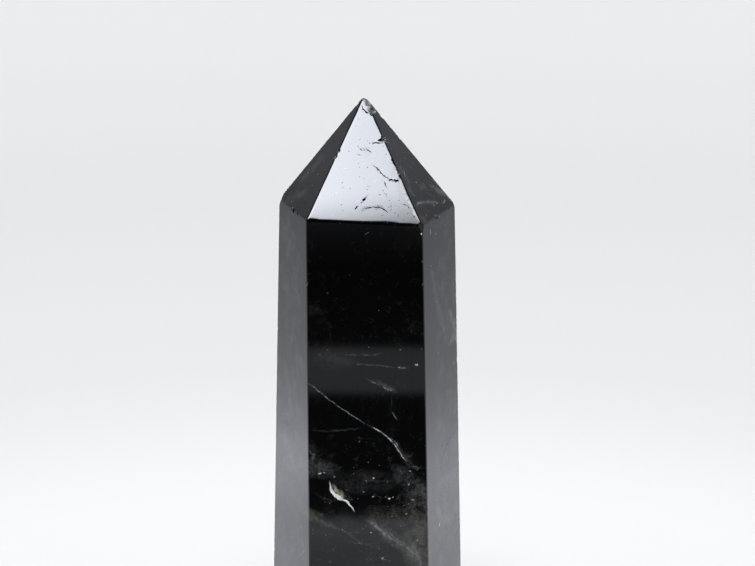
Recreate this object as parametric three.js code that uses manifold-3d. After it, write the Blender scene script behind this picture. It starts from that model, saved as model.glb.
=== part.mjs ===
import * as THREE from 'three';
import { mergeVertices } from 'three/addons/utils/BufferGeometryUtils.js';
import Module from 'manifold-3d';

// A polished six-sided point of morion, the black kind of smoky quartz, one solid on a sawn foot.
// Millimetres, +Z up, -Y to the front. The origin is in the plane of the foot, under the point.

// Driving dimensions

const TIP = new THREE.Vector3(-0.6, 0, 130);
const TIP_WEAR = 0.7;        // how much of the ideal tip is gone
const EDGE_EASE = 0.22;      // width of the polished line along every edge
const FOOT_EASE = 0.7;       // width of the bevel round the foot
const ROUGH_BLOCK = 60;      // side of the square block that the point is ground from
const GRIND = 400;           // side of the block that stands for all that a flat cut takes away
const FLAW_END = 0.35;       // how full a flaw still is at its two ends
const FLAW_OVERLAP = 0.08;   // how far the bars of a flaw run into each other

// The six tall faces, from the front one round by the right. azimuth is counted in degrees from
// the front towards the right, lean is how far the face tips back, and reach is its distance from
// the origin. shoulder is the height at which the edge to the next face ends.
const TALL_FACES = [
  { azimuth: 0, lean: 1.5, reach: 15.92, shoulder: 107.0 },
  { azimuth: 64.4, lean: 1.8, reach: 18.31, shoulder: 108.8 },
  { azimuth: 118, lean: 0.8, reach: 16.94, shoulder: 107.6 },
  { azimuth: 178.5, lean: 1.4, reach: 16.3, shoulder: 108.6 },
  { azimuth: -117, lean: 2.6, reach: 19.98, shoulder: 110.1 },
  { azimuth: -65.5, lean: 0.6, reach: 16.84, shoulder: 108.0 },
];

// Corners of the shoulder that wear has made flat: the corner's number, the way the small flat
// looks, and how deep it lies under the sharp corner.
const WORN_CORNERS = [
  { corner: 0, azimuth: 26, lift: 11, deep: 0.34 },
  { corner: 1, azimuth: 91, lift: 21, deep: 0.22 },
  { corner: 3, azimuth: -146, lift: 24, deep: 0.3 },
  { corner: 4, azimuth: -91, lift: 22, deep: 0.44 },
];

// Chips on the edges. The lines are the ridges of the point, counted from the tip down, the
// shoulder's edges, counted from the left as one looks at the face, and the upright edges,
// counted from the shoulder down. along is the way from there, and tilt turns the bowl in degrees
// about the edge, towards the face on the right of it.
const CHIPS = [
  { line: 'ridge', number: 0, along: 2.7, long: 4.6, wide: 2.6, deep: 0.62, tilt: 8 },
  { line: 'ridge', number: 0, along: 9.6, long: 1.5, wide: 1.5, deep: 0.34, tilt: -12 },
  { line: 'ridge', number: 0, along: 17.2, long: 0.8, wide: 0.9, deep: 0.2, tilt: 10 },
  { line: 'ridge', number: 1, along: 5.3, long: 1.3, wide: 1.2, deep: 0.3, tilt: 0 },
  { line: 'ridge', number: 1, along: 7.9, long: 0.8, wide: 0.9, deep: 0.2, tilt: 15 },
  { line: 'ridge', number: 1, along: 10.7, long: 1.1, wide: 1.0, deep: 0.24, tilt: -10 },
  { line: 'ridge', number: 2, along: 4.1, long: 2.4, wide: 1.7, deep: 0.4, tilt: 18 },
  { line: 'ridge', number: 2, along: 13.8, long: 1.0, wide: 1.0, deep: 0.24, tilt: 0 },
  { line: 'ridge', number: 3, along: 6.6, long: 1.4, wide: 1.2, deep: 0.28, tilt: -16 },
  { line: 'ridge', number: 3, along: 19.5, long: 0.9, wide: 0.9, deep: 0.22, tilt: 12 },
  { line: 'ridge', number: 4, along: 2.2, long: 1.2, wide: 1.2, deep: 0.3, tilt: 10 },
  { line: 'ridge', number: 5, along: 12.5, long: 1.0, wide: 0.9, deep: 0.22, tilt: -14 },
  { line: 'ridge', number: 5, along: 13.8, long: 1.2, wide: 1.0, deep: 0.24, tilt: 6 },
  { line: 'shoulder', number: 0, along: 0.5, long: 1.4, wide: 1.6, deep: 0.24, tilt: 0 },
  { line: 'shoulder', number: 0, along: 4.8, long: 1.0, wide: 0.9, deep: 0.15, tilt: 0 },
  { line: 'shoulder', number: 1, along: 7.0, long: 0.9, wide: 1.0, deep: 0.18, tilt: 0 },
  { line: 'shoulder', number: 1, along: 12.6, long: 1.1, wide: 0.9, deep: 0.16, tilt: 0 },
  { line: 'shoulder', number: 2, along: 5.2, long: 1.2, wide: 1.1, deep: 0.2, tilt: 0 },
  { line: 'shoulder', number: 3, along: 13.1, long: 1.7, wide: 1.3, deep: 0.24, tilt: 0 },
  { line: 'shoulder', number: 4, along: 8.4, long: 0.9, wide: 0.9, deep: 0.16, tilt: 0 },
  { line: 'shoulder', number: 5, along: 6.8, long: 0.9, wide: 1.4, deep: 0.22, tilt: 0 },
  { line: 'shoulder', number: 5, along: 9.0, long: 0.7, wide: 0.8, deep: 0.14, tilt: 0 },
  { line: 'upright', number: 0, along: 6.8, long: 0.8, wide: 0.8, deep: 0.22, tilt: 0 },
  { line: 'upright', number: 0, along: 11.2, long: 0.9, wide: 0.8, deep: 0.22, tilt: 10 },
  { line: 'upright', number: 1, along: 31, long: 1.5, wide: 1.1, deep: 0.32, tilt: -12 },
  { line: 'upright', number: 1, along: 88, long: 1.1, wide: 0.9, deep: 0.26, tilt: 8 },
  { line: 'upright', number: 2, along: 17.5, long: 1.9, wide: 1.3, deep: 0.36, tilt: 12 },
  { line: 'upright', number: 2, along: 64, long: 1.1, wide: 0.9, deep: 0.25, tilt: 0 },
  { line: 'upright', number: 3, along: 43, long: 1.3, wide: 1.0, deep: 0.28, tilt: -8 },
  { line: 'upright', number: 3, along: 96, long: 2.2, wide: 1.4, deep: 0.4, tilt: 10 },
  { line: 'upright', number: 4, along: 26, long: 1.0, wide: 0.9, deep: 0.24, tilt: 0 },
  { line: 'upright', number: 4, along: 73, long: 1.2, wide: 1.0, deep: 0.28, tilt: 12 },
  { line: 'upright', number: 5, along: 12, long: 0.8, wide: 0.8, deep: 0.22, tilt: 0 },
  { line: 'upright', number: 5, along: 91, long: 1.3, wide: 1.0, deep: 0.3, tilt: -10 },
  { line: 'foot', number: 0, along: 15.4, long: 2.2, wide: 1.5, deep: 0.55, tilt: 0 },
  { line: 'foot', number: 2, along: 6.3, long: 1.8, wide: 1.4, deep: 0.52, tilt: 0 },
  { line: 'foot', number: 4, along: 12.7, long: 2.6, wide: 1.6, deep: 0.6, tilt: 0 },
];

// Open flaws that cross a face: the points that each runs through, across and up on its face,
// with its greatest width and depth. Slopes count from the tip, tall faces from the origin.
const FLAWS = [
  { face: 'slope', number: 0, wide: 0.42, deep: 0.2,
    path: [[1.0, -14.5], [1.7, -14.6], [2.5, -15.5], [3.7, -16.4], [4.9, -17.6], [6.3, -17.6],
      [7.0, -18.4]] },
  { face: 'slope', number: 0, wide: 0.45, deep: 0.2,
    path: [[-1.2, -24.1], [-0.2, -23.6], [1.2, -23.3], [2.4, -23.2], [3.1, -23.6], [4.1, -24.1]] },
  { face: 'slope', number: 0, wide: 0.36, deep: 0.18,
    path: [[0.4, -20.6], [-0.1, -21.4], [-0.8, -22.2], [-1.6, -23.2]] },
  { face: 'slope', number: 0, wide: 0.38, deep: 0.18,
    path: [[0.9, -9.9], [1.6, -10.0], [2.5, -9.6], [3.2, -9.4]] },
  { face: 'slope', number: 1, wide: 0.38, deep: 0.18,
    path: [[-3.6, -9.6], [-2.6, -10.2], [-0.8, -10.6]] },
  { face: 'slope', number: 3, wide: 0.42, deep: 0.2,
    path: [[-4.1, -16.2], [-2.2, -17.5], [-0.9, -17.3], [1.3, -19.2], [3.6, -19.8]] },
  { face: 'tall', number: 0, wide: 0.8, deep: 0.24,
    path: [[-7.0, 56.8], [-6.9, 55.4], [-6.3, 54.2], [-5.4, 53.6], [-4.5, 53.2], [-3.2, 52.4],
      [-2.5, 51.3]] },
  { face: 'tall', number: 3, wide: 0.6, deep: 0.22,
    path: [[5.6, 83.1], [4.2, 81.4], [3.9, 79.2], [2.1, 77.6], [1.5, 75.2]] },
];

const BLACK = { color: 0x0c0c0e, roughness: 0.06, metalness: 0 };

// Solids

const wasm = await Module();
wasm.setup();

// A closed geometry as a solid that can be cut and joined.
function solidOf(geometry) {
  geometry.deleteAttribute('normal');
  geometry.deleteAttribute('uv');
  const merged = mergeVertices(geometry, 1e-5);
  return new wasm.Manifold(new wasm.Mesh({
    numProp: 3,
    vertProperties: merged.attributes.position.array,
    triVerts: new Uint32Array(merged.index.array),
  }));
}

function geometryOf(solid) {
  const mesh = solid.getMesh();
  const geometry = new THREE.BufferGeometry();
  geometry.setAttribute('position', new THREE.BufferAttribute(mesh.vertProperties, 3));
  geometry.setIndex(new THREE.BufferAttribute(mesh.triVerts, 1));
  return geometry;
}

// The unit vector that looks towards an azimuth, tipped up by a lift, both in degrees.
function direction(azimuth, lift) {
  const turn = THREE.MathUtils.degToRad(azimuth);
  const rise = THREE.MathUtils.degToRad(lift);
  return new THREE.Vector3(
    Math.sin(turn) * Math.cos(rise), -Math.cos(turn) * Math.cos(rise), Math.sin(rise));
}

// The plane through three points, its normal away from a point inside.
function planeThrough(a, b, c, inside) {
  const plane = new THREE.Plane().setFromCoplanarPoints(a, b, c);
  return plane.distanceToPoint(inside) > 0 ? plane.negate() : plane;
}

// The place where two tall faces and a level height meet.
function meet(left, right, height) {
  const rows = new THREE.Matrix3().set(
    left.normal.x, left.normal.y, left.normal.z,
    right.normal.x, right.normal.y, right.normal.z,
    0, 0, 1);
  return new THREE.Vector3(-left.constant, -right.constant, height).applyMatrix3(rows.invert());
}

// Everything beyond a plane, as a block large enough to take a whole side off the stone.
function beyond(plane) {
  const block = new THREE.BoxGeometry(GRIND, GRIND, GRIND);
  block.translate(0, 0, GRIND / 2);
  block.applyQuaternion(
    new THREE.Quaternion().setFromUnitVectors(new THREE.Vector3(0, 0, 1), plane.normal));
  const foot = plane.normal.clone().multiplyScalar(-plane.constant);
  block.translate(foot.x, foot.y, foot.z);
  return solidOf(block);
}

// The plane that takes a sharp edge off: it leaves a flat strip of the given width.
function easePlane(one, other, width) {
  const sum = one.normal.clone().add(other.normal);
  const halfTurn = one.normal.angleTo(other.normal) / 2;
  const depth = width * Math.tan(halfTurn) / 2;
  const edgeReach = -(one.constant + other.constant) / sum.length();
  return new THREE.Plane(sum.normalize(), -(edgeReach - depth));
}

// Planes, corners and lines of the ideal point

const SIDES = TALL_FACES.length;
const INSIDE = new THREE.Vector3(0, 0, TIP.z / 2);
const next = (i) => (i + 1) % SIDES;
const previous = (i) => (i + SIDES - 1) % SIDES;

const tall = TALL_FACES.map((f) => new THREE.Plane(direction(f.azimuth, f.lean), -f.reach));
const shoulder = TALL_FACES.map((f, i) => meet(tall[i], tall[next(i)], f.shoulder));
const footCorner = TALL_FACES.map((f, i) => meet(tall[i], tall[next(i)], 0));
const slope = TALL_FACES.map((f, i) => planeThrough(shoulder[previous(i)], shoulder[i], TIP, INSIDE));
const foot = new THREE.Plane(new THREE.Vector3(0, 0, -1), 0);

// Each kind of edge as its start, its end and the two faces beside it.
const LINES = {
  ridge: (i) => ({ start: TIP, end: shoulder[i], faces: [slope[i], slope[next(i)]] }),
  shoulder: (i) => ({ start: shoulder[previous(i)], end: shoulder[i], faces: [tall[i], slope[i]] }),
  upright: (i) => ({ start: shoulder[i], end: footCorner[i], faces: [tall[i], tall[next(i)]] }),
  foot: (i) => ({ start: footCorner[previous(i)], end: footCorner[i], faces: [tall[i], foot] }),
};

// Cutters

// A shallow bowl with its opening at height 0, a paraboloid that goes on above the opening.
function bowl(long, wide, deep) {
  const rings = [0, 0.4, 0.72, 1, 1.35];
  const wall = rings.map((r) => new THREE.Vector2(r, r * r - 1));
  const top = rings.at(-1) ** 2 - 1;
  const lathe = new THREE.LatheGeometry([...wall, new THREE.Vector2(0, top)], 14);
  lathe.rotateX(Math.PI / 2);
  lathe.scale(long / 2, wide / 2, deep);
  return lathe;
}

// Stands a cutter at a place, with its X along one direction and its Z outwards.
function stand(geometry, place, along, outwards) {
  const x = along.clone().normalize();
  const z = outwards.clone().addScaledVector(x, -outwards.dot(x)).normalize();
  const y = new THREE.Vector3().crossVectors(z, x);
  geometry.applyMatrix4(new THREE.Matrix4().makeBasis(x, y, z).setPosition(place));
  return geometry;
}

function chip({ line, number, along, long, wide, deep, tilt }) {
  const edge = LINES[line](number);
  const run = edge.end.clone().sub(edge.start).normalize();
  const place = edge.start.clone().addScaledVector(run, along);
  const outwards = edge.faces[0].normal.clone().add(edge.faces[1].normal).normalize();
  outwards.applyAxisAngle(run, THREE.MathUtils.degToRad(tilt));
  return solidOf(stand(bowl(long, wide, deep), place, run, outwards));
}

// A place on a face from its across and up measures, with the face's outward direction.
function onFace(kind, number, [across, up]) {
  const plane = kind === 'slope' ? slope[number] : tall[number];
  const start = kind === 'slope' ? TIP : plane.normal.clone().multiplyScalar(-plane.constant);
  const level = new THREE.Vector3(-plane.normal.y, plane.normal.x, 0).normalize();
  const rise = new THREE.Vector3().crossVectors(plane.normal, level);
  return start.clone().addScaledVector(level, across).addScaledVector(rise, up);
}

// A flaw is a row of four-sided bars set edge down in the face, thin at both ends of the path.
function flaw({ face, number, wide, deep, path }) {
  const outwards = (face === 'slope' ? slope : tall)[number].normal;
  const points = path.map((p) => onFace(face, number, p));
  const swell = (i) => Math.sin(Math.PI * i / (points.length - 1));
  const fullness = points.map((p, i) => FLAW_END + (1 - FLAW_END) * swell(i));
  const bars = points.slice(1).map((end, i) => {
    const run = end.clone().sub(points[i]);
    const length = run.length() + 2 * FLAW_OVERLAP;
    const bar = new THREE.CylinderGeometry(fullness[i + 1], fullness[i], length, 4);
    bar.rotateZ(-Math.PI / 2);
    bar.scale(1, wide / 2, deep);
    const middle = points[i].clone().addScaledVector(run, 0.5);
    return solidOf(stand(bar, middle, run, outwards));
  });
  return bars.reduce((whole, bar) => whole.add(bar));
}

// The stone

function crystalSolid() {
  const block = new THREE.BoxGeometry(ROUGH_BLOCK, ROUGH_BLOCK, TIP.z);
  block.translate(0, 0, TIP.z / 2);
  const wornTip = new THREE.Plane(direction(40, 68), 0);
  wornTip.constant = -(TIP.dot(wornTip.normal) - TIP_WEAR);
  const wornCorners = WORN_CORNERS.map(({ corner, azimuth, lift, deep }) => {
    const normal = direction(azimuth, lift);
    return new THREE.Plane(normal, -(shoulder[corner].dot(normal) - deep));
  });
  const eases = Object.entries(LINES).flatMap(([kind, lineAt]) => tall.map((face, i) =>
    easePlane(...lineAt(i).faces, kind === 'foot' ? FOOT_EASE : EDGE_EASE)));

  const ground = [...tall, ...slope, ...eases, ...wornCorners, wornTip]
    .reduce((stone, plane) => stone.subtract(beyond(plane)), solidOf(block));
  return [...CHIPS.map(chip), ...FLAWS.map(flaw)]
    .reduce((stone, cutter) => stone.subtract(cutter), ground);
}

const crystal = new THREE.Mesh(geometryOf(crystalSolid()), new THREE.MeshStandardMaterial(BLACK));
crystal.name = 'crystal';

const model = new THREE.Group();
model.add(crystal);

export default model;
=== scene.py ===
"""A polished point of morion, the black kind of smoky quartz, in a pale studio.

The stone is ground in numbers from the planes of its faces, then chips, open cracks, healed veins
and small inclusions are cut into it and each cut gets the finish of what it lays open.
Shapes are worked out in millimetres, +Z up and -Y to the front, and put into Blender in metres.
"""

from typing import NamedTuple

import bpy
import numpy as np
from bpy.props import FloatProperty, FloatVectorProperty, PointerProperty
from bpy.types import Operator, Panel, PropertyGroup
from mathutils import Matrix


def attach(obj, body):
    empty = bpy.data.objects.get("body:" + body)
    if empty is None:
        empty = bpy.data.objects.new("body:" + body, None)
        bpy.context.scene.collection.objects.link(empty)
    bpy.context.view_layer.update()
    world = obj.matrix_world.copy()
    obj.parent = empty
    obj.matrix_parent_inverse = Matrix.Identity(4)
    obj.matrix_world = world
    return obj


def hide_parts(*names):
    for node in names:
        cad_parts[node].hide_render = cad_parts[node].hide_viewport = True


bl_info = {
    "name": "Morion point",
    "version": (1, 0, 0),
    "blender": (4, 5, 0),
    "location": "3D View > Sidebar > Morion",
    "description": "Makes a polished black quartz point and the studio it stands in",
    "category": "Add Mesh",
}

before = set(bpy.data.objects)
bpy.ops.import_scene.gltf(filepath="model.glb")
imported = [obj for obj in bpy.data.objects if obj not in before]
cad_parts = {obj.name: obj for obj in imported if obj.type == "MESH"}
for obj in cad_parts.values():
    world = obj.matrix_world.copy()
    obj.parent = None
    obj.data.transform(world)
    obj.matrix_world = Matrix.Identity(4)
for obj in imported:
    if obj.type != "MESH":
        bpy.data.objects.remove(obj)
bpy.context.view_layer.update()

MM = 0.001
PIECE = "polished_point"
NODE = "crystal"

# The ideal point

TIP = np.array([-0.6, 0.0, 130.0])

# The six tall faces, from the front one round by the right: azimuth counted in degrees from the
# front towards the right, how far the face leans back, its distance from the origin, and the
# height of the shoulder corner that it shares with the next face.
TALL_FACES = np.array([
    [0.0, 1.5, 15.92, 107.0],
    [64.4, 1.8, 18.31, 108.8],
    [118.0, 0.8, 16.94, 107.6],
    [178.5, 1.4, 16.3, 108.6],
    [-117.0, 2.6, 19.98, 110.1],
    [-65.5, 0.6, 16.84, 108.0],
])

# Shoulder corners that wear has made flat: the corner's number, the azimuth and lift that the
# small flat looks towards, and its depth under the sharp corner.
WORN_CORNERS = np.array([
    [0, 26, 11, 0.34],
    [1, 91, 21, 0.22],
    [3, -146, 24, 0.3],
    [4, -91, 22, 0.44],
])

# The worn end of the tip looks towards this azimuth and lift.
WORN_TIP = (40.0, 68.0)

# The pale flake in the tip's break: its place across and up, the radius where it fades out, and
# the radius of its full part.
PALE_FLAKE = (0.05, 127.5, 0.7, 0.3)

# Chips on the edges: the kind of edge, its number, the way along it, and the bowl's length, width,
# depth and tilt in degrees towards the face on the right. Ridges run from the tip down, the
# shoulder's edges from the left, upright edges from the shoulder down, the foot's from the left.
CHIPS = (
    ("ridge", 0, 1.5, 2.9, 2.9, 0.5, -14),
    ("ridge", 0, 3.2, 2.1, 3.6, 0.46, -24),
    ("ridge", 0, 9.6, 1.6, 1.9, 0.42, -14),
    ("ridge", 0, 17.2, 0.8, 0.9, 0.2, 10),
    ("ridge", 1, 5.3, 1.3, 1.2, 0.3, 0),
    ("ridge", 1, 7.9, 0.8, 0.9, 0.2, 15),
    ("ridge", 1, 10.7, 1.1, 1.0, 0.24, -10),
    ("ridge", 2, 4.1, 2.4, 1.7, 0.4, 18),
    ("ridge", 2, 13.8, 1.0, 1.0, 0.24, 0),
    ("ridge", 3, 6.6, 1.4, 1.2, 0.28, -16),
    ("ridge", 3, 19.5, 0.9, 0.9, 0.22, 12),
    ("ridge", 4, 2.2, 1.2, 1.2, 0.3, 10),
    ("ridge", 5, 12.5, 1.0, 0.9, 0.22, -14),
    ("ridge", 5, 13.8, 1.2, 1.0, 0.24, 6),
    ("shoulder", 1, 6.6, 1.7, 1.5, 0.34, 12),
    ("shoulder", 1, 12.6, 1.1, 0.9, 0.16, 0),
    ("shoulder", 2, 5.2, 1.2, 1.1, 0.2, 0),
    ("shoulder", 3, 13.1, 1.7, 1.3, 0.24, 0),
    ("shoulder", 4, 8.4, 0.9, 0.9, 0.16, 0),
    ("shoulder", 5, 6.8, 0.9, 1.4, 0.22, 0),
    ("shoulder", 5, 9.0, 0.7, 0.8, 0.14, 0),
    ("upright", 0, 6.8, 0.8, 0.8, 0.22, 0),
    ("upright", 0, 11.2, 0.9, 0.8, 0.22, 10),
    ("upright", 1, 31.0, 1.5, 1.1, 0.32, -12),
    ("upright", 1, 88.0, 1.1, 0.9, 0.26, 8),
    ("upright", 2, 17.5, 1.9, 1.3, 0.36, 12),
    ("upright", 2, 64.0, 1.1, 0.9, 0.25, 0),
    ("upright", 3, 43.0, 1.3, 1.0, 0.28, -8),
    ("upright", 3, 96.0, 2.2, 1.4, 0.4, 10),
    ("upright", 4, 26.0, 1.0, 0.9, 0.24, 0),
    ("upright", 4, 73.0, 1.2, 1.0, 0.28, 12),
    ("upright", 5, 12.0, 0.8, 0.8, 0.22, 0),
    ("upright", 5, 91.0, 1.3, 1.0, 0.3, -10),
    ("foot", 0, 15.4, 2.2, 1.5, 0.55, 0),
    ("foot", 2, 6.3, 1.8, 1.4, 0.52, 0),
    ("foot", 4, 12.7, 2.6, 1.6, 0.6, 0),
)

# Lines that cross a face: the kind of face, its number, the width and depth, and the points across
# and up on the face that it runs through. Slopes count from the tip, tall faces from the origin.
OPEN_CRACKS = (
    ("slope", 0, 0.26, 0.14, ((1.5, -14.5), (2.1, -14.9), (2.6, -15.5), (3.2, -16.3), (3.9, -16.9),
                              (4.7, -17.3))),
    ("slope", 0, 0.56, 0.24, ((4.3, -17.4), (5.2, -17.45), (6.1, -17.65), (6.6, -17.75))),
    ("slope", 0, 0.26, 0.13, ((-0.3, -23.3), (1.0, -22.9), (2.5, -22.9), (3.4, -23.3), (4.3, -24.1))),
    ("slope", 0, 0.52, 0.22, ((0.05, -21.0), (-0.4, -21.6), (-0.9, -22.1))),
    ("slope", 0, 0.4, 0.18, ((-1.4, -22.6), (-2.1, -23.4))),
    ("slope", 0, 0.34, 0.18, ((1.3, -9.9), (2.0, -9.9), (2.9, -9.95), (3.6, -9.85))),
    ("slope", 0, 0.28, 0.14, ((3.5, -17.7), (3.8, -18.4), (4.1, -19.2))),
    ("slope", 0, 0.28, 0.14, ((-0.9, -11.0), (-0.5, -11.6))),
    ("slope", 0, 0.3, 0.14, ((0.2, -11.1), (0.7, -11.5), (1.3, -11.9))),
    ("slope", 0, 0.18, 0.1, ((6.9, -22.2), (7.7, -22.6), (8.3, -23.2))),
    ("slope", 1, 0.26, 0.14, ((-2.2, -10.4), (-0.8, -10.6))),
    ("slope", 1, 0.2, 0.1, ((1.6, -23.9), (2.3, -24.4), (3.2, -24.6), (4.4, -24.6))),
    ("slope", 2, 0.3, 0.15, ((-3.4, -14.8), (-1.9, -15.9), (-1.2, -17.6), (0.6, -18.4))),
    ("slope", 3, 0.42, 0.2, ((-4.1, -16.2), (-2.2, -17.5), (-0.9, -17.3), (1.3, -19.2), (3.6, -19.8))),
    ("slope", 4, 0.26, 0.12, ((1.2, -12.4), (2.3, -13.9), (2.1, -15.4), (3.4, -16.8))),
    ("slope", 5, 0.2, 0.1, ((-3.8, -16.6), (-2.9, -17.5), (-2.6, -18.6))),
    ("tall", 3, 0.50, 0.2, ((5.6, 83.1), (4.2, 81.4), (3.9, 79.2), (2.1, 77.6), (1.5, 75.2))),
    ("slope", 0, 0.36, 0.2, ((-0.45, -2.1), (-0.4, -2.6), (-0.1, -3.15), (0.4, -3.6), (1.1, -3.95),
                             (1.7, -4.6))),
)

# Colours that an inlay can have, and how bare it is: 0 lies under the polish, 1 is dull.
TONES = {
    "milk": ((0.2, 0.2, 0.195), 0.0),
    "dust": ((0.22, 0.22, 0.215), 0.0),
    "olive": ((0.11, 0.105, 0.06), 0.0),
    "rust": ((0.055, 0.03, 0.024), 0.0),
    "vein": ((0.5, 0.5, 0.49), 0.0),
    "air": ((0.95, 0.94, 0.86), 0.0),
    "film": ((0.32, 0.315, 0.205), 0.0),
    "scuff": ((0.10, 0.10, 0.12), 1.0),
    "seam": ((0.012, 0.012, 0.014), 1.0),
}

# How crisp a tone's strokes are: 0 is a soft cloud, 1 a torn line and 2 a whole one, hard at the
# rim. A tone that isn't named has torn lines.
CRISPNESS = {"milk": 0, "olive": 0, "rust": 0, "dust": 0.8, "air": 2}
FLECK_CRISPNESS = 1.5

# The long bright vein and the low dusty one, across and up on the front face.
LONG_VEIN = ((-13.2, 78.2), (-11.4, 76.8), (-8.8, 74.7), (-7.6, 73.6), (-5.2, 71.8), (-2.1, 69.7),
             (-0.1, 68.5), (2.3, 67.2), (3.7, 66.1), (5.0, 64.8), (6.0, 63.2), (7.6, 60.8))
LOW_VEIN = ((-0.2, 49.5), (1.5, 48.5), (2.7, 47.2), (4.3, 45.9), (6.3, 44.9), (7.5, 44.2),
            (9.2, 42.4), (10.3, 40.8))

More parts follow.
